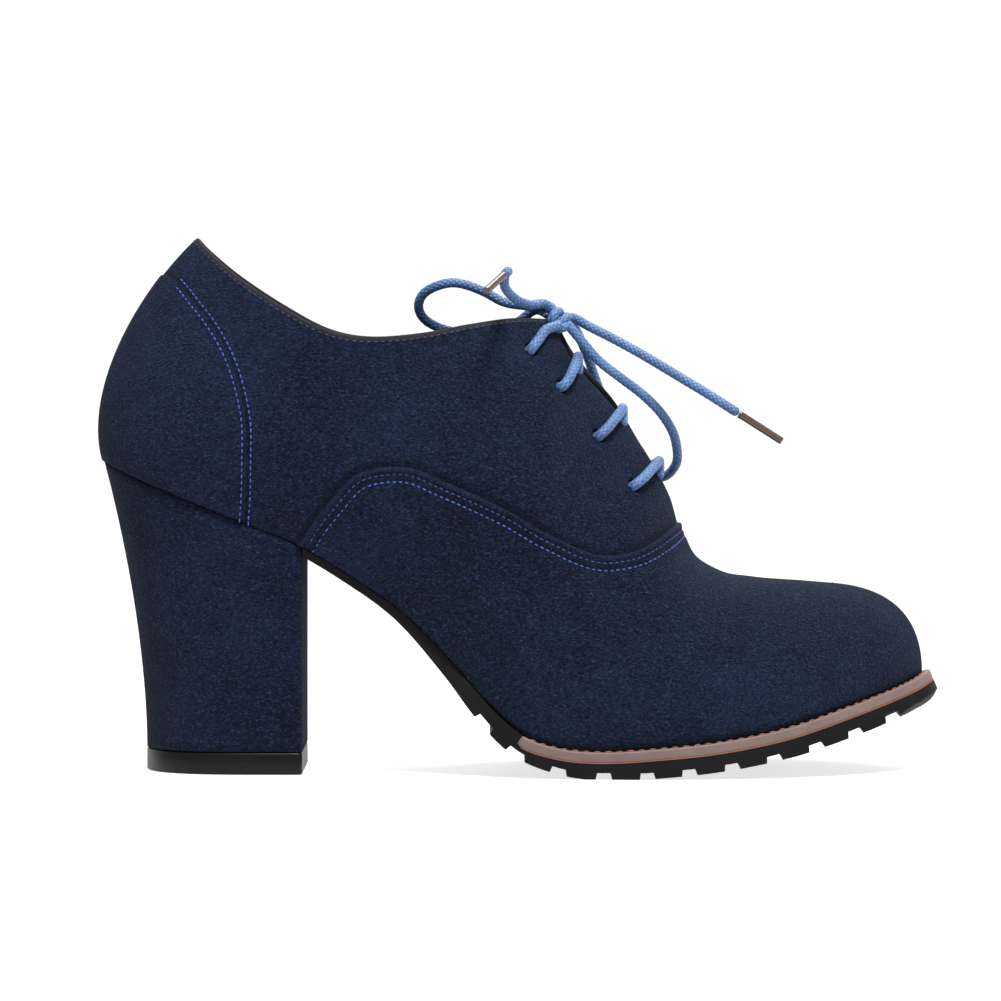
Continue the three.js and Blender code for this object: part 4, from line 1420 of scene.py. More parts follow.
        # The first row takes the darker copy of the blue thread, painted shade; the second takes the plain
        # blue.
        for k, (inset, thread) in enumerate(zip(STITCH_ROWS, (painted_shade_blue, blue))):
            Stitches(f"vamp_stitches_{k + 1}", thread).sew([self.stitch_line(inset)], "upper_suede")
        for k, inset in enumerate(COUNTER_ROWS):
            lines = [self.counter_line(side, inset) for side in Side]
            Stitches(f"counter_stitches_{k + 1}", blue).sew(lines, "upper_suede")
        row = Stitches("collar_stitches", self.palette.collar_thread, pitch=2.0, length=1.3, thick=0.30)
        row.sew([self.collar_line(COLLAR_ROW)], "upper_suede")


def bake(piece: bpy.types.Object) -> None:
    """Turns a piece and its modifiers into a plain mesh.

    Args:
        piece: the piece.
    """
    bpy.context.view_layer.update()
    graph = bpy.context.evaluated_depsgraph_get()
    mesh = bpy.data.meshes.new_from_object(piece.evaluated_get(graph), depsgraph=graph)
    piece.modifiers.clear()
    piece.data = mesh


STITCH_SIZES = (0.9, 1.1)  # how small and how large a stitch comes out, as shares of its size


@dataclass
class Stitches:
    """A row of stitches, laid by Geometry Nodes along lines on a surface."""

    name: str
    thread: bpy.types.Material
    pitch: float = 1.75
    length: float = 1.2
    thick: float = 0.42
    seed: int = 7

    def sew(self, lines: Iterable[Array], slot: str) -> bpy.types.Object:
        """Lays the stitches.

        Args:
            lines: runs of points with their outward directions, shape (n, 6), in millimetres.
            slot: not used.

        Returns:
            The stitches as one plain mesh.
        """
        spots, ways, outs = [], [], []
        for line in lines:
            count = max(2, int(run_length(line[:, :3]) / self.pitch) + 1)
            even = self._spread(line, count)
            spots.append(even[:, :3])
            ways.append(unit(np.gradient(even[:, :3], axis=0)))
            outs.append(unit(even[:, 3:]))
        mesh = bpy.data.meshes.new(self.name)
        mesh.from_pydata((np.concatenate(spots) * METRES).tolist(), [], [])
        for key, values in (("way", ways), ("out", outs)):
            layer = mesh.attributes.new(key, "FLOAT_VECTOR", "POINT")
            layer.data.foreach_set("vector", np.concatenate(values).astype(np.float32).reshape(-1))
        piece = bpy.data.objects.new(self.name, mesh)
        bpy.context.scene.collection.objects.link(piece)
        tree = self._tree()
        laid = piece.modifiers.new("stitches", "NODES")
        laid.node_group = tree
        sizes = {"Length": self.length * METRES, "Thickness": self.thick * METRES, "Seed": self.seed}
        for item in tree.interface.items_tree:
            if item.in_out == "INPUT" and item.name in sizes:
                laid[item.identifier] = sizes[item.name]
        bake(piece)
        return dress(piece, (self.thread,))

    @staticmethod
    def _spread(line: Array, count: int) -> Array:
        """Spaces a line's rows evenly by the length of its first three columns.

        Args:
            line: the rows, points first.
            count: how many rows.

        Returns:
            The new rows.
        """
        steps = np.concatenate([[0], np.cumsum(np.linalg.norm(np.diff(line[:, :3], axis=0), axis=1))])
        at = np.linspace(0, steps[-1], count)
        return np.stack([np.interp(at, steps, line[:, k]) for k in range(line.shape[1])], -1)

    def _tree(self) -> bpy.types.NodeTree:
        """Builds the node tree: one thread capsule on each point, turned to the surface.

        Returns:
            The tree.
        """
        tree = bpy.data.node_groups.new(self.name, "GeometryNodeTree")
        tree.interface.new_socket("Geometry", in_out="INPUT", socket_type="NodeSocketGeometry")
        tree.interface.new_socket("Length", in_out="INPUT", socket_type="NodeSocketFloat")
        tree.interface.new_socket("Thickness", in_out="INPUT", socket_type="NodeSocketFloat")
        tree.interface.new_socket("Seed", in_out="INPUT", socket_type="NodeSocketInt")
        tree.interface.new_socket("Geometry", in_out="OUTPUT", socket_type="NodeSocketGeometry")

        def add(kind: str, settings: Optional[dict] = None, **links: object) -> bpy.types.Node:
            """Adds a node, its settings, and the links or values of its sockets.

            Args:
                kind: the node's type.
                settings: its own settings.
                links: links or values of its sockets, by name.

            Returns:
                The node.
            """
            made = tree.nodes.new(kind)
            for key, value in (settings or {}).items():
                setattr(made, key, value)
            for key, value in links.items():
                socket = made.inputs[key.replace("_", " ")]
                if isinstance(value, bpy.types.NodeSocket):
                    tree.links.new(value, socket)
                else:
                    socket.default_value = value
            return made

        given = add("NodeGroupInput").outputs
        halves = []
        for size_name in ("Length", "Thickness"):
            halved = add("ShaderNodeMath", {"operation": "MULTIPLY"})
            tree.links.new(given[size_name], halved.inputs[0])
            halved.inputs[1].default_value = 0.5
            halves.append(halved.outputs[0])
        size = add("ShaderNodeCombineXYZ", X=halves[0], Y=halves[1], Z=halves[1])
        ball = add("GeometryNodeMeshUVSphere", Segments=8, Rings=6, Radius=1.0)
        shaped = add("GeometryNodeTransform", Geometry=ball.outputs[0], Scale=size.outputs[0])
        way = add("GeometryNodeInputNamedAttribute", {"data_type": "FLOAT_VECTOR"}, Name="way")
        out = add("GeometryNodeInputNamedAttribute", {"data_type": "FLOAT_VECTOR"}, Name="out")
        turned = add("FunctionNodeAlignRotationToVector", {"axis": "X"}, Vector=way.outputs[0])
        settled = add("FunctionNodeAlignRotationToVector", {"axis": "Z", "pivot_axis": "X"},
                      Rotation=turned.outputs[0], Vector=out.outputs[0])
        wobble = add("FunctionNodeRandomValue", {"data_type": "FLOAT"}, Seed=given["Seed"])
        wobble.inputs[2].default_value, wobble.inputs[3].default_value = STITCH_SIZES
        many = add("GeometryNodeInstanceOnPoints", Points=given["Geometry"], Instance=shaped.outputs[0],
                   Rotation=settled.outputs[0], Scale=wobble.outputs[1])
        real = add("GeometryNodeRealizeInstances", Geometry=many.outputs[0])
        smooth = add("GeometryNodeSetShadeSmooth", Geometry=real.outputs[0])
        finished = add("GeometryNodeSetMaterial", Geometry=smooth.outputs[0], Material=self.thread)
        end = tree.nodes.new("NodeGroupOutput")
        tree.links.new(finished.outputs[0], end.inputs[0])
        return tree


@dataclass
class Tongue:
    """The tongue under the throat."""

    palette: Palette
    thickness: float = TONGUE_THICKNESS
    below: float = UPPER_WALL + 2 * GAP

    def cross(self, rib: Array, offset: float) -> Array:
        """Gives its cross-section at each rib, from the outer side over the middle to the inner.

        Args:
            rib: places along the ribs.
            offset: how far out from the face.

        Returns:
            The sections, one for each rib.
        """
        heights = np.linspace(0.8, 1.0, 9)
        r, h = np.meshgrid(rib, heights, indexing="ij")
        outer = LAST.face(Side.OUTER, r, h, offset)
        inner = LAST.face(Side.INNER, r, h, offset)[:, ::-1]
        across = np.linspace(0, 1, 6)[1:-1]
        middle = outer[:, -1:] + (inner[:, :1] - outer[:, -1:]) * across[None, :, None]
        return np.concatenate([outer, middle, inner], 1)

    def build(self) -> bpy.types.Object:
        """Builds the tongue.

        Returns:
            The piece.
        """
        made = Builder("tongue_leather")
        ribs = rib_places(THROAT_TOP_RIB - 0.5, THROAT_END_RIB + 0.98, 8)
        over, under = self.cross(ribs, -self.below), self.cross(ribs, -self.below - self.thickness)
        made.grid(np.concatenate([over, under[:, ::-1]], 1), columns=Rows.RING, flip=True)
        for row in (0, -1):
            made.grid(np.stack([over[row], under[row]]), flip=row == 0)
        return dress(made.make(), (self.palette.suede,), ("tongue",))


# Underneath

def sole_margin(x: Array) -> Array:
    """Gives how far welt and outsole stand out from the feather line at x."""
    return -0.2 + (WELT_MARGIN + 0.2) * smoothstep(x_at(0.40), x_at(0.53), x)


def sole_underside(x: Array) -> Array:
    """Gives the depth of the outsole's underside under the feather line at x."""
    waist, full = -(GAP + WAIST_THICKNESS), WELT_UNDERSIDE - SOLE_THICKNESS
    return waist + (full - waist) * smoothstep(x_at(0.30), x_at(0.64), x)


@dataclass
class Bottom:
    """The welt, the outsole, the insole, the heel and its lift."""

    palette: Palette
    per_rib: float = 10.0

    def ring(self, margin: float, trim: float = 0.0) -> tuple[Array, Array]:
        """Gives the outline of the forefoot's edge, and the inward direction, from outer to inner side.

        Args:
            margin: how far it is moved outwards.
            trim: how much of each end is left off, in ribs.

        Returns:
            The outline and the directions.
        """
        plans, ways = [], []
        for side, ribs in round_places({k: v + trim for k, v in WELT_END_RIBS.items()}, self.per_rib):
            base = LAST.outline(side, ribs)
            plans.append(LAST.outline(side, ribs, sole_margin(base[:, 0]) + margin))
            ways.append(-LAST.outward(side, ribs))
        return np.concatenate(plans), np.concatenate(ways)

    def welt(self) -> None:
        """Builds the welt, the stitches on its upper edge and the thread under it."""
        made = Builder("welt_strip")
        plan, inward = self.ring(0.0)
        bottom, top, round_off = WELT_UNDERSIDE, -1.5 * GAP, 0.5
        section = [(WELT_SEAT + WELT_MARGIN, bottom)]
        for start, middle in ((0.0, bottom + round_off), (math.pi / 2, top - round_off)):
            for a in np.linspace(start, start + math.pi / 2, 5):
                section.append((round_off - round_off * math.sin(a), middle - round_off * math.cos(a)))
        section.append((WELT_SEAT + WELT_MARGIN, top))
        rows = np.stack([lift(plan + inward * d, np.full(len(plan), h)) for d, h in section], 1)
        made.grid(rows, columns=Rows.RING)
        for row in (0, -1):
            made.fan(rows[row], flip=row == -1)
        dress(made.make(), (self.palette.welt,), ("welt",))
        normals = np.tile((0.0, 0.0, 1.0), (len(plan), 1))
        seam = lift(plan + inward * (WELT_MARGIN - 0.95), np.full(len(plan), top + 0.1))
        row = Stitches("welt_stitches", self.palette.orange_thread, pitch=3.1, length=2.0, thick=0.46)
        row.sew([np.concatenate([seam, normals], -1)[3:-3]], "welt")
        under = lift(plan + inward * 0.12, np.full(len(plan), bottom - 0.06))
        Cord("welt_line", self.palette.orange_thread, under[1:-1], 0.26, braided=False).build("welt")

    def outsole(self) -> bpy.types.Object:
        """Builds the outsole with its lugs, and the pocket that the welt lies in.

        Returns:
            The piece.
        """
        made = Builder("outsole_tread")
        stations = self._stations()
        outer, inner = self._edges(stations)
        near_rim = np.array((0.0, 0.004, 0.012, 0.03))
        across = np.concatenate([near_rim, np.linspace(0.055, 0.945, 37), (1 - near_rim)[::-1]])
        plan = outer[:, None] * (1 - across)[None, :, None] + inner[:, None] * across[None, :, None]
        edge = self._from_rim(plan)
        under = lift(plan, sole_underside(plan[..., 0]))
        under[..., 2] = np.maximum(under[..., 2], 0.0)
        raised = self._grooves(plan, edge) + self._rounding(plan, edge)
        under += feather_normal(plan[..., 0]) * raised[..., None]
        over = lift(plan, -GAP + (WELT_UNDERSIDE - 0.25 + GAP) * self._pocket(plan, edge))
        for sheet in (under, over):
            sheet[..., 0] = np.maximum(sheet[..., 0], breast() + GAP)
        made.grid(under)
        made.grid(over, flip=True)
        share = np.linspace(0, 1, 5)[None, :, None]
        for low, high, flip in ((under[:, 0], over[:, 0], True), (under[:, -1], over[:, -1], False),
                                (under[0], over[0], False), (under[-1], over[-1], True)):
            made.grid(low[:, None] * (1 - share) + high[:, None] * share, flip=flip)
        return dress(made.make(smooth=False), (self.palette.rubber,), ("outsole",))

    def _stations(self) -> Array:
        """Gives the stations along the sole, close together at the sides of each groove and at the toe.

        Returns:
            The stations.
        """
        start, end = breast(), float(self._rim(Side.OUTER)[-1, 0])
        stops = [np.linspace(start, end - 0.4, 200), end - 0.4 * np.linspace(0, 1, 6) ** 2]
        for x in self._groove_places():
            half = LUG_GROOVE / 2
            stops.append(np.array([x - half - 0.25, x - half + 0.15, x + half - 0.15, x + half + 0.25]))
        for side in Side:
            stops.append(self._welt_end(side) + np.array([-0.75, -0.45]))
        return np.unique(np.concatenate(stops))

    @staticmethod
    def _groove_places() -> list[float]:
        """Gives the middle of each groove between two rows of lugs.

        Returns:
            The places.
        """
        places, x = [], FIRST_GROOVE
        while x < LAST_GROOVE:
            places.append(x)
            x += LUG_PITCH * float(feather_normal(np.array(x))[2])
        return places

    @staticmethod
    def _welt_end(side: Side) -> float:
        """Gives where the welt ends along one side of the sole."""
        return float(LAST.outline(side, np.array([WELT_END_RIBS[side]]))[0, 0])

    @staticmethod
    def _rim(side: Side) -> Array:
        """Gives the sole's edge in plan, from behind the heel's front face to the tip of the toe.

        Args:
            side: which side of the shoe.

        Returns:
            The edge.
        """
        ribs = rib_places(BREAST_RIB - 0.4, LAST_RIB, 60)
        base = LAST.outline(side, ribs)
        return LAST.outline(side, ribs, sole_margin(base[:, 0]))

    def _edges(self, stations: Array) -> tuple[Array, Array]:
        """Finds the outer and inner edge of the sole at each station.

        Args:
            stations: places along the sole.

        Returns:
            The outer edge and the inner one.
        """
        outer, inner = (self._rim(side) for side in Side)
        return (np.stack([stations, np.interp(stations, outer[:, 0], outer[:, 1])], -1),
                np.stack([stations, np.interp(stations, inner[:, 0], inner[:, 1])], -1))

    def _from_rim(self, plan: Array) -> Array:
        """Gives how far places of the sole lie from its edge.

        Args:
            plan: places of the sole in plan.

        Returns:
            The distances.
        """
        rim = np.concatenate([self._rim(side)[::4] for side in Side])
        far = [np.min(np.linalg.norm(rim - place, axis=1)) for place in plan.reshape(-1, 2)]
        return np.array(far).reshape(plan.shape[:-1])

    def _pocket(self, plan: Array, edge: Array) -> Array:
        """Gives 1 where the welt's pocket is cut in the top of the sole, and 0 elsewhere.

        Args:
            plan: places of the sole in plan.
            edge: how far they lie from its edge.

        Returns:
            The shares.
        """
        ends = {side: self._welt_end(side) for side in Side}
        share = smoothstep(-20.0, 20.0, plan[..., 1])
        end = ends[Side.OUTER] * (1 - share) + ends[Side.INNER] * share
        seat = 1 - smoothstep(WELT_SEAT + WELT_MARGIN + GAP, WELT_SEAT + WELT_MARGIN + GAP + 0.6, edge)
        return smoothstep(-0.7, -0.5, plan[..., 0] - end) * seat

    def _grooves(self, plan: Array, edge: Array) -> Array:
        """Gives how deep the grooves between the lugs are at each place.

        Args:
            plan: places of the sole in plan.
            edge: how far they lie from its edge.

        Returns:
            The depths.
        """
        x = plan[..., 0]
        cut = np.zeros_like(x)
        half = LUG_GROOVE / 2
        for place in self._groove_places():
            cut = np.maximum(cut, 1 - smoothstep(half - 0.15, half + 0.2, np.abs(x - place)))
        ring = smoothstep(10.5, 11.0, edge) * (1 - smoothstep(13.5, 14.0, edge))
        fore = smoothstep(x_at(0.46), x_at(0.475), x)
        return LUG_DEPTH * np.maximum(cut, ring * fore * 0.8)

    @staticmethod
    def _rounding(plan: Array, edge: Array) -> Array:
        """Gives how far the lower edge of the sole is rounded up, most at the toe.

        Args:
            plan: places of the sole in plan.
            edge: how far they lie from its edge.

        Returns:
            How far it rises.
        """
        toe = smoothstep(x_at(0.90), x_at(0.985), plan[..., 0])
        reach = 0.5 + 4.0 * toe
        rise = 0.35 + 2.4 * toe
        return rise * (1 - np.clip(edge / reach, 0, 1)) ** 2

    def insole(self) -> bpy.types.Object:
        """Builds the insole, with a softly rounded upper edge.

        Returns:
            The piece.
        """
        made = Builder("insole_sock")
        loops = []
        full = INSOLE_THICKNESS
        for inset, height in ((2.4, 0.0), (2.4, full - 0.6), (2.7, full - 0.2), (3.3, full)):
            places = round_places({side: 0.0 for side in Side}, 6)
            runs = [LAST.outline(side, ribs, -inset) for side, ribs in places]
            loop = np.concatenate([runs[0], runs[1][:-1]])
            loops.append(lift(loop, np.full(len(loop), height)))
        rows = np.stack(loops)
        made.grid(rows, columns=Rows.RING)
        made.cap(np.roll(rows[-1], -1, 0)[::-1], flip=False)
        made.cap(np.roll(rows[0], -1, 0)[::-1], flip=True)
        return dress(made.make(), (self.palette.lining,), ("insole",))

    def heel_ring(self, share: float, height: Callable[[Array], Array], corner: float = 1.3) -> Array:
        """Gives a ring of the heel.

        Args:
            share: 0 for the outline on the lift, 1 for the outline under the seat.
            height: the ring's height, from the height of the seat.
            corner: radius of its two front corners.

        Returns:
            The ring, from the middle of the front round the outer side, back and inner side.
        """
        ribs = rib_places(0, BREAST_RIB, 14)
        outer, inner = (LAST.outline(side, ribs, -0.2) for side in Side)
        front = outer[-1, 0]
        loop = np.concatenate([outer[::-1], inner[1:]])
        back = loop[:, 0].min()
        wide = loop[:, 1].max() - loop[:, 1].min()
        long = HEEL_FOOT_LENGTH / (front - back) * (1 - share) + share
        narrow = HEEL_FOOT_WIDTH / wide * (1 - share) + share
        x = front + (np.minimum(loop[:, 0], front) - front) * long
        y = loop[:, 1] * narrow
        side_run = np.stack([x, y], -1)
        inside = resample(side_run[side_run[:, 0] < front - corner], 150)
        turn = np.linspace(0, math.pi / 2, 6)
        half = {s: abs(y[0] if s is Side.OUTER else y[-1]) for s in Side}
        arcs = {}
        for s in Side:
            arcs[s] = np.stack([front - corner + corner * np.cos(turn),
                                s.value * (half[s] - corner + corner * np.sin(turn))], -1)
        span = np.linspace(-half[Side.OUTER] + corner, half[Side.INNER] - corner, 9)[1:-1]
        face = np.stack([np.full(len(span), front), span], -1)
        ring = np.concatenate([arcs[Side.OUTER], inside, arcs[Side.INNER][::-1], face[::-1]])
        above = np.stack([front + (ring[:, 0] - front) / long, ring[:, 1]], -1)
        seat = lift(above, np.full(len(ring), -GAP))
        return np.stack([ring[:, 0], ring[:, 1], height(seat[:, 2])], -1)

    def heel(self) -> None:
        """Builds the covered block and the lift under it."""
        foot = LIFT_THICKNESS + GAP
        made = Builder("heel_cover")
        levels = np.linspace(0, 1, 34)
        rings = [self.heel_ring(t ** HEEL_FLARE, lambda seat, t=t: foot + (seat - foot) * t) for t in levels]
        rows = np.stack(rings)
        made.grid(rows, columns=Rows.RING, flip=True)
        self._close(made, rows)
        dress(made.make(), (self.palette.suede,), ("heel",))
        made = Builder("lift_block")
        steps = ((-0.35, 0.0), (0.0, 0.4), (0.0, LIFT_THICKNESS - 0.4), (-0.3, LIFT_THICKNESS))
        loops = []
        for grow, z in steps:
            ring = self.heel_ring(0.0, lambda seat, z=z: np.full_like(seat, z))
            middle = ring.mean(0)
            away = ring - middle
            away[:, 2] = 0
            loops.append(ring + unit(away) * grow)
        rows = np.stack(loops)
        made.grid(rows, columns=Rows.RING, flip=True)
        self._close(made, rows)
        dress(made.make(), (self.palette.lift,), ("top_lift",))

    @staticmethod
    def _close(made: Builder, rows: Array) -> None:
        """Closes the ends of a stack of heel rings.

        Args:
            made: the mesh.
            rows: the stack of rings.
        """
        for ring, flip in ((rows[0], True), (rows[-1], False)):
            middle = ring.mean(0)
            inner = np.stack([ring * share + middle * (1 - share) for share in np.linspace(1, 0, 8)])
            made.grid(inner, columns=Rows.RING, flip=flip)

    def build(self) -> None:
        """Builds everything under the upper."""
        self.welt()
        self.outsole()
        self.insole()
        self.heel()


def breast() -> float:
    """Gives the place of the heel's front face."""
    return float(LAST.outline(Side.OUTER, np.array([BREAST_RIB]))[0, 0])


# Laces

# The braid: strands round the lace, crossings in one diameter of its length, and relief as a share of the
# radius.
BRAID_STRANDS = 6
BRAID_PITCH = 1.7
BRAID_RELIEF = 0.045

# The turns of the knot: tilt in degrees, yaw, radius, and place from the knot's middle.
KNOT_TURNS = ((62.0, 0.0, 2.5, (0.2, 0.2, 0.0)), (24.0, -0.5, 2.15, (-0.9, -1.0, 0.9)),
              (80.0, 0.6, 1.9, (0.5, -1.4, -1.3)))

# What the held strands of the lace are thicker by than its free ends, which hang loose.
PULLED = 1.06


@dataclass
class Cord:
    """A tube that follows points, with a map that runs along it."""

    name: str
    finish: bpy.types.Material
    points: Array
    diameter: float = LACE_DIAMETER
    braided: bool = True

    def tube(self, made: Builder) -> Array:
        """Adds the tube to a mesh.

        Args:
            made: the mesh.

        Returns:
            The middle line that it follows.
        """
        path = catmull(self.points, 16)
        step = 0.45 if self.braided else 1.2
        path = resample(path, max(6, int(run_length(path) / step)))
        way = unit(np.gradient(path, axis=0))
        side = np.zeros_like(way)
        side[0] = unit(np.cross(way[0], (0.0, 0.0, 1.0)) + 1e-9)
        for k in range(1, len(way)):
            side[k] = unit(side[k - 1] - way[k] * (side[k - 1] @ way[k]))
        up = np.cross(way, side)
        count = 20 if self.braided else 8
        turn = np.linspace(0, 2 * math.pi, count + 1)
        along = np.linspace(0, run_length(path), len(path))
        t, a = np.meshgrid(along, turn, indexing="ij")
        u = a / (2 * math.pi) * BRAID_STRANDS
        v = t / self.diameter * BRAID_PITCH
        radius = np.full_like(t, self.diameter / 2)
        if self.braided:
            over = np.sin((u + v) * math.pi) * np.sin((u - v) * math.pi)
            radius = radius * (1 - BRAID_RELIEF + BRAID_RELIEF * np.abs(over))
            ends = np.minimum(t, along[-1] - t)
            radius = radius * (0.35 + 0.65 * smoothstep(-0.4, 0.9, ends))
        ring = (side[:, None] * (np.cos(a) * radius)[..., None]
                + up[:, None] * (np.sin(a) * radius)[..., None])
        grid = path[:, None] + ring
        made.grid(grid, uv=np.stack([u, v], -1), flip=True)
        made.fan(grid[0, :-1], flip=False)
        made.fan(grid[-1, :-1], flip=True)
        return path

    def build(self, slot: str, stands_for: Sequence[str] = ()) -> tuple[bpy.types.Object, Array]:
        """Builds the cord as a piece of its own, and gives it with its middle line.

        Args:
            slot: not used.
            stands_for: the nodes that it replaces.

        Returns:
            The piece.
        """
        made = Builder(self.name)
        path = self.tube(made)
        return dress(made.make(), (self.finish,), stands_for), path


@dataclass
class Laces:
    """The lace over the throat, its knot and its bow."""

    palette: Palette
    clear: float = LACE_RADIUS + 0.1

    def _eyelet(self, side: Side, index: int, offset: float, rib: float = 0.0, height: float = 0.0) -> Array:
        """Gives a point over or under an eyelet, moved along the facing."""
        at_rib, at_height, _ = EYELETS[index]
        return LAST.face(side, np.array(at_rib + rib), np.array(at_height + height), offset)

    def strand(self, side: Side, index: int) -> Array:
        """Gives one strand: up through its eyelet, over the throat and down under the other facing.

        Args:
            side: which side of the shoe.
            index: which eyelet, from the collar down.

        Returns:
            Its points.
        """
        rib, height, over = EYELETS[index]
        other = Side.INNER if side is Side.OUTER else Side.OUTER
        high = 0.9 if side is Side.OUTER else -0.35

        def across(share: float, along: float, rise: float) -> Array:
            """Gives a point over the throat.

            Args:
                share: how far over the throat, 0 to 1.
                along: how far on towards the rib where it crosses, 0 to 1.
                rise: what it stands higher by.

            Returns:
                The point.
            """
            r = rib + (over - rib) * along
            mine = LAST.face(side, np.array(r), np.array(1.0), self.clear)
            theirs = LAST.face(other, np.array(r), np.array(1.0), self.clear)
            return mine + (theirs - mine) * share + np.array((0, 0, rise))

        def facing(along: float, climb: float, offset: float) -> Array:
            """Gives a point over the facing."""
            return LAST.face(side, np.array(rib + (over - rib) * along),
                             np.array(height + (1 - height) * climb), offset)

        return np.array([
            self._eyelet(side, index, -UPPER_WALL - 1.0, 0.0, 0.012),
            self._eyelet(side, index, -UPPER_WALL * 0.4, 0.0, 0.0),
            self._eyelet(side, index, 0.75, 0.02, 0.004),
            facing(0.25, 0.22, self.clear + 0.1),
            facing(0.5, 0.5, self.clear + 0.15),
            facing(0.75, 0.8, self.clear + 0.2),
            across(0.05, 0.95, 0.25 + max(high, 0) * 0.3),
            across(0.5, 1.0, 0.2 + high),
            across(0.86, 1.0, -0.9),
            across(1.0, 0.96, -UPPER_WALL - LACE_RADIUS - 1.1),
        ])

    def crossings(self) -> None:
        """Builds the three crossings and the two strands that go up into the knot."""
        for index in (3, 2, 1):
            made = Builder(f"lace_over_{4 - index}")
            for side in Side:
                points = self.strand(side, index)
                Cord("strand", self.palette.lace, points, LACE_DIAMETER * PULLED).tube(made)
            dress(made.make(), (self.palette.lace,), (f"lace_cross_{4 - index}",))
        made = Builder("lace_over_4")
        knot = np.array(KNOT)
        for side in Side:
            rib, height, over = EYELETS[0]
            points = [
                self._eyelet(side, 0, -UPPER_WALL - 1.0, 0.0, 0.012),
                self._eyelet(side, 0, -UPPER_WALL * 0.4),
                self._eyelet(side, 0, 0.75, 0.02, 0.004),
                LAST.face(side, np.array(rib + 0.22), np.array(height + 0.022), self.clear + 0.1),
                LAST.face(side, np.array(rib + 0.55), np.array(height + 0.05), self.clear + 0.15),
                LAST.face(side, np.array(over + 0.25), np.array(0.985), self.clear + 0.1),
                knot + np.array((-0.4, side.value * 3.0, -1.2)),
                knot + np.array((0.8, side.value * 0.4, -0.8)),
            ]
            Cord("strand", self.palette.lace, np.array(points), LACE_DIAMETER * PULLED).tube(made)
        dress(made.make(), (self.palette.lace,), ("lace_cross_4",))

    def knot(self) -> bpy.types.Object:
        """Builds the knot: a turn of lace wound round where the strands pass.

        Returns:
            The piece.
        """
        made = Builder("lace_knot_wrap")
        centre = np.array(KNOT) + np.array((-0.1, -0.3, -0.6))
        turn = np.linspace(0, 1.95 * math.pi, 16)
        for tilt, yaw, radius, shift in KNOT_TURNS:
            ring = np.stack([turn * 0.2 - 0.6, np.cos(turn) * radius * 1.15, np.sin(turn) * radius], -1)
            way = np.array(Euler((0.0, math.radians(tilt), yaw)).to_matrix())
            Cord("turn", self.palette.lace, centre + np.array(shift) + ring @ way.T).tube(made)
        return dress(made.make(), (self.palette.lace,), ("lace_knot",))

    def bow(self) -> None:
        knot = np.array(KNOT)
        for name, points, node in (("bow_loop_left", LOOP_LEFT, "lace_loop_left"),
                                   ("bow_loop_right", LOOP_RIGHT, "lace_loop_right")):
            first = knot + (np.array(points[0]) - knot) * 0.35
            last = knot + (np.array(points[-1]) - knot) * 0.35
            route = np.concatenate([[first], points, [last]])
            piece, path = Cord(name, self.palette.lace, route).build("lace", (node,))
        for name, points, node, tip in (("bow_end_left", END_LEFT, "lace_end_left", "aglet_left"),
                                        ("bow_end_right", END_RIGHT, "lace_end_right", "aglet_right")):
            first = knot + (np.array(points[0]) - knot) * 0.3
            route = np.concatenate([[first], points])
            piece, path = Cord(name, self.palette.lace, route).build("lace", (node,))
            cap = self.aglet(np.array(points), tip)

    def aglet(self, points: Array, node: str) -> bpy.types.Object:
        """Builds the hard tip of an end of the lace.

        Args:
            points: the points.
            node: the node that it replaces.

        Returns:
            The piece.
        """
        way = unit(points[-1] - points[-2])
        right = unit(np.cross(way, (0.0, 0.0, 1.0)))
        up = np.cross(way, right)
        turn = np.linspace(0, 2 * math.pi, 24, endpoint=False)
        made = Builder(node + "_tip")
        profile = ((0.0, 0.9), (0.15, 1.06), (0.6, 1.08), (1.0, 1.0), (AGLET_LENGTH - 0.5, 0.98),
                   (AGLET_LENGTH - 0.12, 0.92), (AGLET_LENGTH, 0.7))
        circle = right * np.cos(turn)[:, None] + up * np.sin(turn)[:, None]
        rows = [points[-1] + way * (GAP + along) + circle * (AGLET_DIAMETER / 2 * wide)
                for along, wide in profile]
        made.grid(np.stack(rows), columns=Rows.RING, flip=True)
        made.fan(rows[0], flip=False)
        made.fan(rows[-1], flip=True)
        return dress(made.make(), (self.palette.aglet,), (node,))

    def build(self) -> None:
        """Builds every part of the lace."""
        self.crossings()
        self.knot()
        self.bow()


# The stage

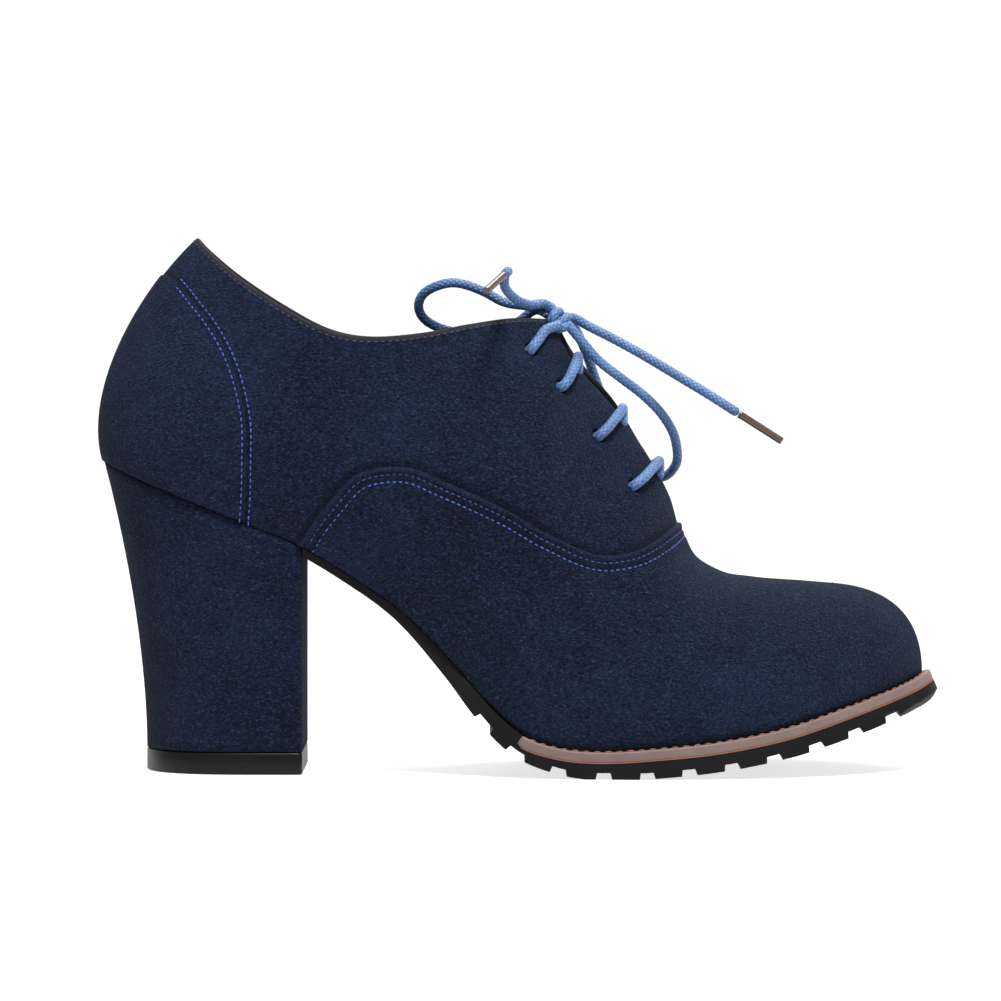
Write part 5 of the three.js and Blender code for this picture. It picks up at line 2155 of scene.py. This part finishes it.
@dataclass
class Studio:
    """The camera, the lights and the floor."""

    distance: float = 1625.0
    middle: float = -5.0
    eye: float = 125.0
    aim: float = 76.6
    frame_width: float = 286.0

    def camera(self) -> None:
        """Sets the camera where the photograph was taken from."""
        data = bpy.data.cameras.new("camera")
        data.sensor_width = 36.0
        data.lens = 36.0 * self.distance / self.frame_width
        made = bpy.data.objects.new("camera", data)
        made.location = Vector((self.middle, -self.distance, self.eye)) * METRES
        tilt = math.atan2(self.eye - self.aim, self.distance)
        made.rotation_euler = (math.pi / 2 - tilt, 0, 0)
        bpy.context.scene.collection.objects.link(made)
        bpy.context.scene.camera = made

    def light(self, name: str, place: Sequence[float], size: float, power: float) -> None:
        """Adds a soft square light that looks at the shoe.

        Args:
            name: its name.
            place: where it hangs, in metres.
            size: its width, in metres.
            power: its power, in watts.
        """
        data = bpy.data.lights.new(name, "AREA")
        data.size, data.energy = size, power
        made = bpy.data.objects.new(name, data)
        made.location = place
        made.rotation_euler = (Vector((0, 0, 0.06)) - Vector(place)).to_track_quat("-Z", "Y").to_euler()
        bpy.context.scene.collection.objects.link(made)

    def floor(self) -> None:
        """Lays a plain pale floor that sweeps up far behind the shoe."""
        made = Builder("floor")
        turn = np.linspace(0, math.pi / 2, 13)
        run = np.concatenate([[(-4000.0, 0.0), (1500.0, 0.0)],
                              np.stack([1500 + 900 * np.sin(turn), 900 - 900 * np.cos(turn)], -1)[1:],
                              [(2400.0, 3600.0)]])
        across = np.array((-5000.0, 5000.0))
        rows = np.stack([np.stack([np.full(len(run), x), run[:, 0], run[:, 1] - 0.02], -1) for x in across])
        made.grid(rows, flip=True)
        piece = made.make(closed=False)
        s = Shader("pale_floor", Roughness=0.6, Specular_IOR_Level=0.2, Emission_Strength=0.74)
        s.surface.inputs["Base Color"].default_value = (0.36, 0.36, 0.36, 1)
        s.surface.inputs["Emission Color"].default_value = (1, 1, 1, 1)
        piece.data.materials.append(s.material)

    def build(self) -> None:
        """Sets up the whole stage."""
        self.camera()
        self.floor()
        self.light("key", (0.20, -0.60, 1.55), 0.4, 42.0)
        self.light("fill", (0.9, -1.2, 0.9), 0.9, 2.5)
        self.light("rim", (0.35, 0.8, 1.1), 0.6, 9.0)
        world = bpy.data.worlds.new("studio")
        world.use_nodes = True
        world.node_tree.nodes["Background"].inputs[0].default_value = (1, 1, 1, 1)
        world.node_tree.nodes["Background"].inputs[1].default_value = 0.25
        bpy.context.scene.world = world
        bpy.context.scene.view_settings.view_transform = "Standard"


def main() -> None:
    """Builds the stage and the shoe."""
    logging.basicConfig(level=logging.INFO, format="%(name)s %(message)s")
    Studio().build()
    palette = Palette()
    Laces(palette).build()
    Bottom(palette).build()
    Tongue(palette).build()
    Upper(palette).build()


if __name__ == "__main__":
    main()
